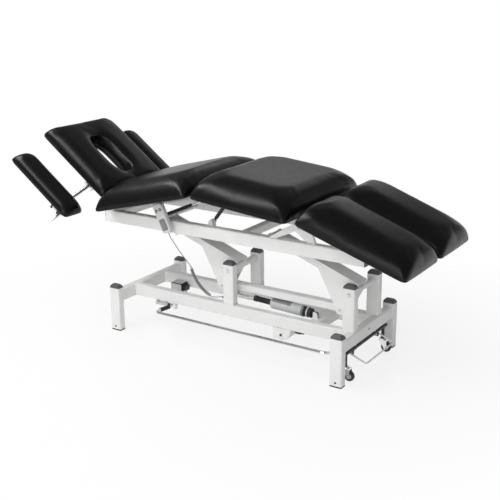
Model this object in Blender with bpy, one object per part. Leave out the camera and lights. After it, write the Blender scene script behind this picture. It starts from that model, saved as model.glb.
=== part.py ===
"""Electric multi-section examination table: pieces, hinges and mounts, in metres, +Z up.

The head end points along -X, the leg end along +X, and the handset side is -Y.
"""
import math

import bmesh
import bpy
from mathutils import Matrix, Vector

# Distance from the drawing's origin to the middle of the finished table
CENTRE_X = 0.0086

# Base frame, welded from 60 x 40 mm tube
TUBE_W, TUBE_T, TUBE_R = 0.060, 0.040, 0.004
BASE_HEAD_X, BASE_FOOT_X = -0.560, 0.701
BASE_HALF_Y = 0.263
POST_TOP, FOOT_H = 0.225, 0.006
CROSS_Z, BEAM_Z, BEAM_Y = 0.178, 0.180, 0.120
UPRIGHT_1_X, UPRIGHT_2_X, UPRIGHT_TOP = 0.040, 0.684, 0.408
CAP_H = 0.020
CROSSBAR_X, CROSSBAR_W = 0.486, 0.050

# Lift: two parallel arms, a tie bar and an actuator
SHAFT_Z, SHAFT_R, PIN_R = 0.382, 0.0165, 0.008
ARM_LEN, ARM_ANGLE, ARM_SLANT, ARM_KNEE = 0.465, 24.0, 20.2, 0.42
ARM_Y0, ARM_Y1, SHEET = -0.097, -0.010, 0.005
FRAME_SHAFT_R = 0.012
TIE_DX, TIE_DZ, TIE_Y = -0.064, -0.098, -0.0535
TIE_W, TIE_T, TIE_PIN_R = 0.046, 0.036, 0.006
ACT_EYE_X, ACT_EYE_Z = 0.030, 0.240
ACT_REAR_X, ACT_REAR_Z, MOTOR_R = 0.474, 0.221, 0.0265

# Upper frame
RAIL_X0, RAIL_X1, RAIL_Y, RAIL_Z = -0.632, 0.799, 0.210, 0.583
RAIL_TOP = RAIL_Z + TUBE_W / 2
MID_AXIS_X, MID_AXIS_Z, MID_ROD_R = 0.460, 0.676, 0.008
LEG_AXIS_X, LEG_AXIS_Z = 0.512, 0.738
APEX_X, APEX_Z = -0.032, 0.778
HEAD_AXIS_X, HEAD_AXIS_Z = -0.615, 0.655
HINGE_ROD_R, KNUCKLE_R, RUN = 0.0045, 0.0085, 0.00006

# Upholstered sections: tilt about Y (left side up is positive), extent, thickness
PAD_HALF_W, PAD_DROP = 0.335, 0.010
MID_TILT, MID_X0, MID_X1, MID_T = 5.6, 0.009, 0.526, 0.078
BACK_TILT, BACK_X0, BACK_X1, BACK_T = -14.0, -0.567, -0.009, 0.080
LEG_TILT, LEG_X0, LEG_X1, LEG_T, LEG_GAP = 18.1, 0.011, 0.552, 0.072, 0.010
HEAD_TILT, HEAD_X0, HEAD_X1, HEAD_T = 36.5, -0.500, -0.032, 0.070
HEAD_HALF_W = 0.230
BAR, BAR_LOW = 0.026, 0.006
HOLE_X, HOLE_LONG, HOLE_WIDE = -0.255, 0.112, 0.050
ARM_PAD_X0, ARM_PAD_X1, ARM_PAD_T = -0.455, -0.072, 0.055
ARM_PAD_Y0, ARM_PAD_Y1, ARM_PAD_W = 0.335, 0.440, -0.091
ARM_TUBE_X, ARM_TUBE_Y, ARM_TUBE_W = -0.145, 0.212, -0.024
ARM_TUBE_R, ARM_SLOPE, ARM_REACH = 0.010, 33.0, 0.212

# Gas struts that carry the middle section: pivots on the rail, and along the section's bar
LONG_STRUT_FOOT, LONG_STRUT_X, LONG_STRUT_Y = (-0.365, 0.588), 0.030, 0.163
SHORT_STRUT_FOOT, SHORT_STRUT_X, SHORT_STRUT_Y = (-0.012, 0.628), 0.110, 0.165
STRUT_R, STRUT_ROD_R = 0.009, 0.004
STUD_R = 0.004

# Foot bar, castors and pedal bail
FOOT_AXIS_Z, FOOT_BAR_R, FOOT_RUN_Y = 0.128, 0.008, BASE_HALF_Y - 0.001
FOOT_X0, FOOT_X1 = -0.318, 0.612
CASTOR_X, CASTOR_Y, CASTOR_TRAIL = BASE_FOOT_X + 0.001, 0.190, 0.020
WHEEL_R, WHEEL_W, AXLE_R = 0.025, 0.018, 0.004
CARRIER_Z, BAIL_AXIS_Z, BAIL_R = 0.128, 0.108, 0.004
BAIL_Y, BAIL_REACH, BAIL_DROP = 0.141, 0.078, 0.030
GUIDE_Y, GUIDE_R = 0.100, 0.006

# Handset and its curly cord
HAND_X, HAND_Y, HAND_Z, HAND_TILT = -0.241, -0.262, 0.632, 25.0
HAND_W, HAND_L, HAND_T = 0.058, 0.148, 0.028
GAP = 0.0003
BAR_Z = -PAD_DROP - GAP - BAR_LOW - BAR / 2
BOSS_L, GLAND_L, GLAND_Z = 0.010, 0.014, 0.234
CORD_R, CURL_R, CURLS, CURL_STEPS = 0.0021, 0.0058, 31, 8
CURL_ROUTE = ((-0.128, -0.203, 0.386), (-0.116, -0.163, 0.294), (-0.077, -0.122, 0.2285))


def clear():
    for obj in list(bpy.data.objects):
        bpy.data.objects.remove(obj, do_unlink=True)


def material(name, colour, rough=0.45, metal=0.0):
    mat = bpy.data.materials.new(name)
    mat.use_nodes = True
    shader = mat.node_tree.nodes["Principled BSDF"]
    shader.inputs["Base Color"].default_value = (*colour, 1.0)
    shader.inputs["Roughness"].default_value = rough
    shader.inputs["Metallic"].default_value = metal
    mat.diffuse_color = (*colour, 1.0)
    return mat


def own(mat, name):
    """A copy of a finish that belongs to one piece."""
    copy = mat.copy()
    copy.name = f"{name}_{mat.name}"
    return copy


def mesh_of(name, parts):
    """One mesh from a list of (vertices, faces)."""
    verts, faces = [], []
    for v, f in parts:
        base = len(verts)
        verts += [tuple(p) for p in v]
        faces += [tuple(i + base for i in face) for face in f]
    mesh = bpy.data.meshes.new(name)
    mesh.from_pydata(verts, [], faces)
    bm = bmesh.new()
    bm.from_mesh(mesh)
    bmesh.ops.remove_doubles(bm, verts=bm.verts, dist=0.00001)
    bmesh.ops.recalc_face_normals(bm, faces=bm.faces)
    bm.to_mesh(mesh)
    bm.free()
    return mesh


def moved(part, matrix):
    verts, faces = part
    return [matrix @ Vector(v) for v in verts], faces


def mirrored(part):
    """The same part on the other side of the table."""
    verts, faces = part
    return [(v[0], -v[1], v[2]) for v in map(Vector, verts)], [tuple(reversed(f)) for f in faces]


def both(*parts):
    return list(parts) + [mirrored(p) for p in parts]


def loft(rings, closed=False):
    """Quads between equal rings; the two ends are filled unless the loft closes on itself."""
    count = len(rings[0])
    verts = [p for ring in rings for p in ring]
    faces = []
    last = len(rings) if closed else len(rings) - 1
    for i in range(last):
        a, b = i * count, ((i + 1) % len(rings)) * count
        for k in range(count):
            n = (k + 1) % count
            faces.append((a + k, a + n, b + n, b + k))
    if not closed:
        faces.append(tuple(reversed(range(count))))
        faces.append(tuple(range((len(rings) - 1) * count, len(rings) * count)))
    return verts, faces


def beam(p, q, wide, tall, r=TUBE_R):
    """Rectangular bar from p to q with chamfered long edges; wide is the level side."""
    p, q = Vector(p), Vector(q)
    along = (q - p).normalized()
    side = Vector((0, 0, 1)).cross(along)
    side = Vector((0, 1, 0)) if side.length < 0.01 else side.normalized()
    up = along.cross(side)
    a, b = wide / 2, tall / 2
    flat = [(a, b - r), (a - r, b), (r - a, b), (-a, b - r),
            (-a, r - b), (r - a, -b), (a - r, -b), (a, r - b)]
    flat = flat if r else flat[::2]
    return loft([[end + side * u + up * v for u, v in flat] for end in (p, q)])


def cylinder(p, q, r, count=12):
    p, q = Vector(p), Vector(q)
    along = (q - p).normalized()
    side = Vector((0, 0, 1)) if abs(along.z) < 0.9 else Vector((1, 0, 0))
    side = (side - along * side.dot(along)).normalized()
    up = along.cross(side)
    turn = [2 * math.pi * k / count for k in range(count)]
    return loft([[end + side * (r * math.cos(t)) + up * (r * math.sin(t)) for t in turn] for end in (p, q)])


def cross(x, z, y0, y1, r, count=12):
    return cylinder((x, y0, z), (x, y1, z), r, count)


def running(pin_r, count=12):
    """Radius of a bore whose flats clear a turning pin's corners."""
    return (pin_r + RUN) / math.cos(math.pi / count)


def plate(outline, y0, y1):
    """Flat plate from an outline in the X-Z plane."""
    return loft([[(x, y, z) for x, z in outline] for y in (y0, y1)])


def arc(x, z, r, angles):
    """Points on a circle in the X-Z plane, at angles in degrees."""
    return [(x + r * math.cos(math.radians(a)), z + r * math.sin(math.radians(a))) for a in angles]


def lathe(profile, count=12):
    """Solid of revolution about local Y from (radius, y) pairs that start and end off the axis."""
    turn = [2 * math.pi * k / count for k in range(count)]
    return loft([[(r * math.cos(t), y, r * math.sin(t)) for t in turn] for r, y in profile])


def scratch(part):
    obj = bpy.data.objects.new("scratch", mesh_of("scratch", [part]))
    bpy.context.scene.collection.objects.link(obj)
    obj.hide_render = True
    obj.display_type = "WIRE"
    return obj


def welded(name, parts, cuts=()):
    """One closed mesh: the parts joined, the cuts taken away."""
    body = scratch(parts[0])
    tools = [(scratch(p), "UNION") for p in parts[1:]] + [(scratch(c), "DIFFERENCE") for c in cuts]
    for tool, kind in tools:
        mod = body.modifiers.new(kind, "BOOLEAN")
        mod.operation, mod.object, mod.solver = kind, tool, "EXACT"
    bpy.context.view_layer.update()
    mesh = bpy.data.meshes.new_from_object(body.evaluated_get(bpy.context.evaluated_depsgraph_get()))
    mesh.name = name
    for obj in [body] + [t for t, _ in tools]:
        bpy.data.objects.remove(obj, do_unlink=True)
    bm = bmesh.new()
    bm.from_mesh(mesh)
    bmesh.ops.remove_doubles(bm, verts=bm.verts, dist=0.00002)
    bmesh.ops.dissolve_degenerate(bm, edges=bm.edges, dist=0.00001)
    bmesh.ops.delete(bm, geom=[e for e in bm.edges if not e.link_faces], context="EDGES")
    bm.to_mesh(mesh)
    bm.free()
    return mesh


def node(name, mesh, mat, pivot=(0, 0, 0)):
    """A named object whose origin lies on its joint axis."""
    mesh.name = name
    mesh.transform(Matrix.Translation(-Vector(pivot)))
    mesh.materials.clear()
    mesh.materials.append(own(mat, name))
    mesh.shade_smooth()
    mesh.set_sharp_from_angle(angle=math.radians(35))
    obj = bpy.data.objects.new(name, mesh)
    obj.location = Vector(pivot) - Vector((CENTRE_X, 0, 0))
    bpy.context.scene.collection.objects.link(obj)
    return obj


def solid(name, part, mat, pivot=(0, 0, 0)):
    return node(name, mesh_of(name, [part]), mat, pivot)


def weld(name, parts, mat, cuts=(), pivot=(0, 0, 0)):
    return node(name, welded(name, parts, cuts), mat, pivot)


def section(x, z, tilt):
    """Frame of a tilting section: origin on its hinge, local X along the table."""
    return Matrix.Translation((x, 0, z)) @ Matrix.Rotation(math.radians(tilt), 4, "Y")


def rounded(x0, x1, y0, y1, r, steps=4):
    """Rounded rectangle, one point list, starting at the +X end."""
    out = []
    corners = ((x1 - r, y1 - r, 0), (x0 + r, y1 - r, 90), (x0 + r, y0 + r, 180), (x1 - r, y0 + r, 270))
    for cx, cy, start in corners:
        for k in range(steps + 1):
            t = math.radians(start + 90 * k / steps)
            out.append((cx + r * math.cos(t), cy + r * math.sin(t)))
    return out


PAD_PROFILE = ((0.34, 0.0), (0.13, 0.06), (0.03, 0.22), (0.0, 0.42), (0.05, 0.64), (0.17, 0.81),
               (0.36, 0.925), (0.64, 0.975))


def pad_rings(x0, x1, y0, y1, thick, corner=0.050, steps=4):
    rings = []
    for inset, height in PAD_PROFILE:
        d = inset * thick
        half = min(x1 - x0, y1 - y0) / 2 - d
        r = max(min(corner - 0.6 * d, 0.8 * half), 0.006)
        rings.append([(x, y, height * thick) for x, y in rounded(x0 + d, x1 - d, y0 + d, y1 - d, r, steps)])
    return rings


def crowned(rings, x0, x1, y0, y1, thick):
    """Inner rings that lift the top to a gentle crown."""
    cx, cy = (x0 + x1) / 2, (y0 + y1) / 2
    for keep, height in ((0.72, 0.998), (0.38, 1.015)):
        rings.append([(cx + (x - cx) * keep, cy + (y - cy) * keep, height * thick)
                      for x, y, _ in rings[len(PAD_PROFILE) - 1]])
    return rings


def cushion(x0, x1, y0, y1, thick, steps=4):
    return loft(crowned(pad_rings(x0, x1, y0, y1, thick, steps=steps), x0, x1, y0, y1, thick))


def holed_cushion(x0, x1, y0, y1, thick, hx, long_r, wide_r):
    """Cushion with an oval opening right through."""
    outer = pad_rings(x0, x1, y0, y1, thick)
    count = len(outer[0])
    turn = [2 * math.pi * (k + 0.5) / count for k in range(count)]

    def oval(grow, height):
        a, b = long_r + grow, wide_r + grow
        return [(hx + a * math.cos(t), b * math.sin(t), height * thick) for t in turn]
    inner = [oval(0.050, 0.995), oval(0.014, 0.95), oval(0.003, 0.86), oval(0.0, 0.5), oval(0.004, 0.0)]
    return loft(outer + inner, closed=True)


def dome(x, y, z, wide, deep):
    """Domed plug for a tube's open end."""
    rings = []
    for inset, height in ((0, 0), (0, 0.003), (0.003, 0.010), (0.010, 0.0175)):
        flat = rounded(-wide / 2 + inset, wide / 2 - inset, -deep / 2 + inset, deep / 2 - inset, 0.005, 1)
        rings.append([(x + u, y + v, z + height * CAP_H / 0.020) for u, v in flat])
    return loft(rings)


def build_base(white, grey, black):
    head, foot = BASE_HEAD_X, BASE_FOOT_X
    posts = [beam((x, s * BASE_HALF_Y, FOOT_H + GAP), (x, s * BASE_HALF_Y, POST_TOP), TUBE_T, TUBE_W)
             for x in (head, foot) for s in (-1, 1)]
    sides = (("near", -1), ("far", 1))
    tops = [(f"{end}_{side}", x, s * BASE_HALF_Y, POST_TOP) for end, x in (("head", head), ("foot", foot))
            for side, s in sides]
    edge = BASE_HALF_Y - TUBE_T / 2 + 0.006
    rails = [beam((x, -edge, CROSS_Z), (x, edge, CROSS_Z), TUBE_T, TUBE_W) for x in (head, foot)]
    rails += [beam((head + 0.010, s * BEAM_Y, BEAM_Z), (foot - 0.010, s * BEAM_Y, BEAM_Z), TUBE_T, TUBE_W)
              for s in (-1, 1)]
    stands, low = [], BEAM_Z + TUBE_W / 2 - 0.006
    for number, x in ((1, UPRIGHT_1_X), (2, UPRIGHT_2_X)):
        for side, s in sides:
            stands.append(beam((x, s * BEAM_Y, low), (x, s * BEAM_Y, UPRIGHT_TOP), TUBE_T, TUBE_W))
            tops.append((f"upright_{number}_{side}", x, s * BEAM_Y, UPRIGHT_TOP))
    bar = beam((CROSSBAR_X, -BEAM_Y + 0.012, 0.177), (CROSSBAR_X, BEAM_Y - 0.012, 0.177), CROSSBAR_W, 0.052)
    lugs = [plate([(ACT_REAR_X - 0.012, 0.195), (ACT_REAR_X + 0.018, 0.195), (ACT_REAR_X + 0.012, 0.232),
                   (ACT_REAR_X - 0.008, 0.235)], TIE_Y + d, TIE_Y + d + 0.004) for d in (-0.0135, 0.0095)]
    ears = [beam((x, -BEAM_Y, 0.154), (x, -BEAM_Y, FOOT_AXIS_Z - 0.012), 0.026, 0.012, 0.002)
            for x in (FOOT_X0 + 0.020, FOOT_X1 + 0.020)]
    bores = [cross(x, SHAFT_Z, -0.16, 0.16, PIN_R + GAP) for x in (UPRIGHT_1_X, UPRIGHT_2_X)]
    bores += [cylinder((x, -BEAM_Y, FOOT_AXIS_Z), (x + 0.040, -BEAM_Y, FOOT_AXIS_Z), running(0.005), 12)
              for x in (FOOT_X0, FOOT_X1)]
    pin = cross(ACT_REAR_X, ACT_REAR_Z, TIE_Y - 0.0125, TIE_Y + 0.0125, 0.005, 12)
    guides = [cylinder((CASTOR_X, s * GUIDE_Y, 0.112), (CASTOR_X, s * GUIDE_Y, 0.153), GUIDE_R, 12)
              for s in (-1, 1)]
    weld("base_frame", posts + rails + stands + [bar] + lugs + ears + [pin] + guides, white, bores)
    for name, x, y, z in tops:
        solid(f"{name}_cap", dome(x, y, z + GAP, TUBE_W, TUBE_T), grey)
    for name, x, y, _ in tops[:4]:
        solid(f"{name}_foot", beam((x, y, 0), (x, y, FOOT_H), TUBE_T, TUBE_W), black)
    out = BEAM_Y + TUBE_T / 2 + GAP
    head_shape = ((0.011, out), (0.011, out + 0.005), (0.008, out + 0.013), (0.003, out + 0.016))
    axle = [(r, -y) for r, y in reversed(head_shape)] + [(PIN_R, -out), (PIN_R, out)] + list(head_shape)
    for number, x in ((1, UPRIGHT_1_X), (2, UPRIGHT_2_X)):
        solid(f"shaft_axle_{number}", moved(lathe(axle), Matrix.Translation((x, 0, SHAFT_Z))), white)
    y = BEAM_Y - TUBE_T / 2 - GAP - 0.026
    weld("control_box", [beam((-0.455, y, 0.158), (-0.385, y, 0.158), 0.052, 0.042),
                         beam((-0.387, y, 0.156), (-0.368, y, 0.156), 0.036, 0.028)], grey)
    low = BEAM_Z - TUBE_W / 2 - GAP
    curl = [(0.340, low - 0.060), (0.368, low - 0.048), (0.384, low - 0.022), (0.388, low)]
    flap = [(0.292, low), (0.292, low - 0.052)] + curl
    skin = [plate(flap, -BEAM_Y - 0.018, -BEAM_Y - 0.014), plate(flap, -BEAM_Y + 0.046, -BEAM_Y + 0.050)]
    curl += [(0.384, low), (0.380, low - 0.020), (0.365, low - 0.0445), (0.3400, low - 0.0555)]
    skin.append(plate(curl, -BEAM_Y - 0.016, -BEAM_Y + 0.048))
    stud = lathe(((0.007, -0.0235), (0.008, -0.0170), (0.005, -0.0170), (0.005, 0.053)), 12)
    weld("switch_bracket", skin + [moved(stud, Matrix.Translation((0.338, -BEAM_Y, low - 0.030)))], white)
    face = UPRIGHT_1_X - TUBE_W / 2 - GAP
    gland = cylinder((face, -BEAM_Y, GLAND_Z), (face - GLAND_L, -BEAM_Y, GLAND_Z), 0.0055, 12)
    solid("cord_gland", gland, black)


def build_lift(white, light, black, chrome):
    beta = math.radians(ARM_SLANT)
    along, off = Vector((-math.cos(beta), math.sin(beta))), Vector((math.sin(beta), math.cos(beta)))
    tip = Vector((-math.cos(math.radians(ARM_ANGLE)), math.sin(math.radians(ARM_ANGLE)))) * ARM_LEN
    far, lift = along.dot(tip), off.dot(tip)

    def at(length, height):
        return tuple(along * length + off * height)
    low, high = lift - 0.0155, lift + 0.0165
    side = [at(far + 0.012, low), at(far + 0.020, low + 0.008), at(far + 0.020, high - 0.008),
            at(far + 0.012, high), at(-0.012, high), (0.014, 0.000), (0.004, -0.020),
            (TIE_DX + 0.030, TIE_DZ + 0.004)]
    side += arc(TIE_DX, TIE_DZ, 0.024, (-15, -70, -125, -180))
    side += [(TIE_DX - 0.032, TIE_DZ + 0.028), at(ARM_KNEE * ARM_LEN, low)]
    top = high - GAP
    web = [at(far - 0.030, top - SHEET), at(far - 0.030, top), at(-0.012, top), at(-0.012, top - SHEET)]
    heel = [(0.014, 0.000), (0.0095, 0.001), (-0.013, -0.0445), (-0.0085, -0.0465)]
    for name, x in (("lift_arm_1", UPRIGHT_1_X), ("lift_arm_2", UPRIGHT_2_X)):
        shift = Matrix.Translation((x, 0, SHAFT_Z))
        parts = [plate(side, ARM_Y0, ARM_Y0 + SHEET), plate(side, ARM_Y1 - SHEET, ARM_Y1),
                 plate(web, ARM_Y0 + 0.002, ARM_Y1 - 0.002), plate(heel, ARM_Y0 + 0.002, ARM_Y1 - 0.002),
                 cross(0, 0, -0.0994, 0.0994, SHAFT_R, 16),
                 cross(tip.x, tip.y, ARM_Y0 - 0.001, ARM_Y1 + 0.001, FRAME_SHAFT_R + 0.005, 16)]
        cuts = [cross(0, 0, -0.11, 0.11, running(PIN_R), 12),
                cross(tip.x, tip.y, -0.12, 0.02, running(FRAME_SHAFT_R), 12),
                cross(TIE_DX, TIE_DZ, -0.12, 0.02, running(TIE_PIN_R), 12)]
        weld(name, [moved(p, shift) for p in parts], white, [moved(c, shift) for c in cuts], (x, 0, SHAFT_Z))
    z = SHAFT_Z + TIE_DZ
    ends = [x + TIE_DX for x in (UPRIGHT_1_X, UPRIGHT_2_X)]
    bar = beam((ends[0] - 0.022, TIE_Y, z), (ends[1] + 0.022, TIE_Y, z), TIE_W, TIE_T)
    eye = ACT_EYE_X
    flat = [(eye - 0.016, z - 0.014), (eye + 0.016, z - 0.014), (eye + 0.012, ACT_EYE_Z - 0.009),
            (eye - 0.012, ACT_EYE_Z - 0.009)]
    ears = [plate(flat, TIE_Y + d, TIE_Y + d + 0.004) for d in (-0.0145, 0.0105)]
    pivot = (ends[0], TIE_Y, z)
    pin = lathe(((0.007, -0.0456), (0.009, -0.0438), (TIE_PIN_R, -0.0438), (TIE_PIN_R, 0.0438),
                 (0.009, 0.0438), (0.007, 0.0475)), 12)
    pins = [moved(pin, Matrix.Translation((x, TIE_Y, z))) for x in ends]
    weld("tie_bar", [bar] + ears + pins, white, pivot=pivot)
    rear, front = Vector((ACT_REAR_X, TIE_Y, ACT_REAR_Z)), Vector((eye, TIE_Y, ACT_EYE_Z))
    rise = Matrix.Rotation(math.asin((front - rear).normalized().z), 4, "Y")
    frame = Matrix.Translation(rear) @ rise @ Matrix.Rotation(math.pi / 2, 4, "Z")
    pivot = tuple(rear)
    shell = [lathe(((0.0125, 0.070), (MOTOR_R - 0.002, 0.070), (MOTOR_R, 0.073), (MOTOR_R, 0.232),
                    (MOTOR_R - 0.004, 0.238), (0.0165, 0.240), (0.0125, 0.240)), 16)]
    hollow = moved(lathe(((0.0128, 0.05), (0.0128, 0.26)), 16), frame)
    weld("actuator_shell", [moved(p, frame) for p in shell], light, [hollow], pivot)
    tail = [lathe(((0.012, 0.0165), (0.020, 0.0165), (0.0235, 0.020), (0.0235, 0.0245), (0.0215, 0.0265),
                   (0.0215, 0.034), (0.0245, 0.036), (0.0245, 0.044), (0.0225, 0.054), (0.0262, 0.056),
                   (0.0262, 0.0695), (0.0120, 0.0695)), 12),
            plate([(-0.0085, -0.0075), (0.0085, -0.0075), (0.0085, 0.0075), (-0.0085, 0.0075)], 0.005, 0.020)]
    knob = cross(0, 0, -0.009, 0.009, 0.010, 16)
    tail = [moved(p, frame) for p in tail] + [moved(knob, Matrix.Translation(rear))]
    tube = lathe(((0.010, 0.066), (0.0122, 0.068), (0.0122, 0.318), (0.0150, 0.320), (0.0150, 0.336),
                  (0.0130, 0.338)), 16)
    tail.append(moved(tube, frame))
    cuts = [moved(cross(0, 0, -0.03, 0.03, running(0.005), 12), Matrix.Translation(rear)),
            moved(lathe(((0.0064, 0.08), (0.0064, 0.4)), 16), frame)]
    weld("actuator_tube", tail, black, cuts, pivot)
    reach = (front - rear).length
    rod = [lathe(((0.004, 0.150), (0.0063, 0.152), (0.0063, reach - 0.004), (0.004, reach - 0.002)), 16)]
    turn = Matrix.Translation((0, reach, 0)) @ Matrix.Rotation(math.pi / 2, 4, "Z")
    rod.append(moved(cross(0, 0, -0.008, 0.008, 0.010, 16), turn))
    weld("actuator_rod", [moved(p, frame) for p in rod], chrome, pivot=pivot)


def build_upper_frame(white):
    parts = both(beam((RAIL_X0, RAIL_Y, RAIL_Z), (RAIL_X1, RAIL_Y, RAIL_Z), TUBE_T, TUBE_W))
    reach = RAIL_Y - TUBE_T / 2 + 0.006
    for x in (RAIL_X0 + 0.024, 0.150):
        parts.append(beam((x, -reach, RAIL_Z - 0.004), (x, reach, RAIL_Z - 0.004), 0.036, 0.040))
    top = RAIL_TOP - 0.004
    brace = [(MID_AXIS_X - 0.140, top), (MID_AXIS_X - 0.104, top), (MID_AXIS_X + 0.014, MID_AXIS_Z - 0.010),
             (MID_AXIS_X + 0.010, MID_AXIS_Z + 0.014), (MID_AXIS_X - 0.012, MID_AXIS_Z + 0.014)]
    horn = [(MID_AXIS_X - 0.012, MID_AXIS_Z - 0.014), (MID_AXIS_X + 0.066, top), (MID_AXIS_X + 0.100, top),
            (LEG_AXIS_X + 0.009, LEG_AXIS_Z - 0.030)]
    horn += arc(LEG_AXIS_X, LEG_AXIS_Z, KNUCKLE_R, (0, 45, 90, 135, 180))
    horn += [(LEG_AXIS_X - 0.009, LEG_AXIS_Z - 0.030), (MID_AXIS_X - 0.012, MID_AXIS_Z + 0.013)]
    parts += both(plate(brace, RAIL_Y - 0.014, RAIL_Y + 0.014), plate(horn, RAIL_Y - 0.006, RAIL_Y + 0.006))
    x, z = LONG_STRUT_FOOT
    parts += [cross(x, z, -RAIL_Y + 0.014, -LONG_STRUT_Y - 0.0055, 0.009, 12),
              cross(x, z, -RAIL_Y + 0.014, -LONG_STRUT_Y + 0.004, STUD_R, 12)]
    x, z = SHORT_STRUT_FOOT
    parts += [plate([(x - 0.016, top), (x + 0.016, top), (x + 0.008, z + 0.008), (x - 0.008, z + 0.008)],
                    -RAIL_Y + 0.012, -SHORT_STRUT_Y - 0.0055),
              cross(x, z, -RAIL_Y + 0.020, -SHORT_STRUT_Y + 0.004, STUD_R, 12)]
    tip_x = ARM_LEN * math.cos(math.radians(ARM_ANGLE))
    tip_z = SHAFT_Z + ARM_LEN * math.sin(math.radians(ARM_ANGLE))
    shafts = [x - tip_x for x in (UPRIGHT_1_X, UPRIGHT_2_X)]
    parts += [cross(x, tip_z, -RAIL_Y, RAIL_Y, FRAME_SHAFT_R, 12) for x in shafts]
    parts += [cross(MID_AXIS_X, MID_AXIS_Z, -RAIL_Y - 0.010, RAIL_Y + 0.010, MID_ROD_R, 16),
              cross(LEG_AXIS_X, LEG_AXIS_Z, -RAIL_Y - 0.004, RAIL_Y + 0.004, HINGE_ROD_R, 12)]
    face, hook = -RAIL_Y - TUBE_T / 2, RAIL_Z + 0.012
    x, low = HAND_X + 0.036, RAIL_Z - TUBE_W / 2
    parts += [cylinder((HAND_X, face + 0.004, hook), (HAND_X, HAND_Y + HAND_T / 2 + GAP, hook), 0.012, 16),
              cylinder((x, -RAIL_Y, low + 0.004), (x, -RAIL_Y, low - 0.014), 0.0065, 12)]
    weld("upper_frame", parts, white, pivot=(shafts[0], 0, tip_z))


def ear(x, y, z, towards, depth, frame, leg=0.050):
    """Hinge ear: a knuckle on the axis with a foot under the cushion."""
    flat = arc(0, 0, KNUCKLE_R, (0, 45, 90, 135, 180))
    if towards > 0:
        flat += [(-KNUCKLE_R, -depth), (leg, -depth), (leg, -0.024), (KNUCKLE_R, -0.024)]
    else:
        flat += [(-KNUCKLE_R, -0.024), (-leg, -0.024), (-leg, -depth), (-0.016, -depth), (KNUCKLE_R, -0.008)]
    return moved(plate([(x + a, z + b) for a, b in flat], y - 0.004, y + 0.004), frame)


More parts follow.
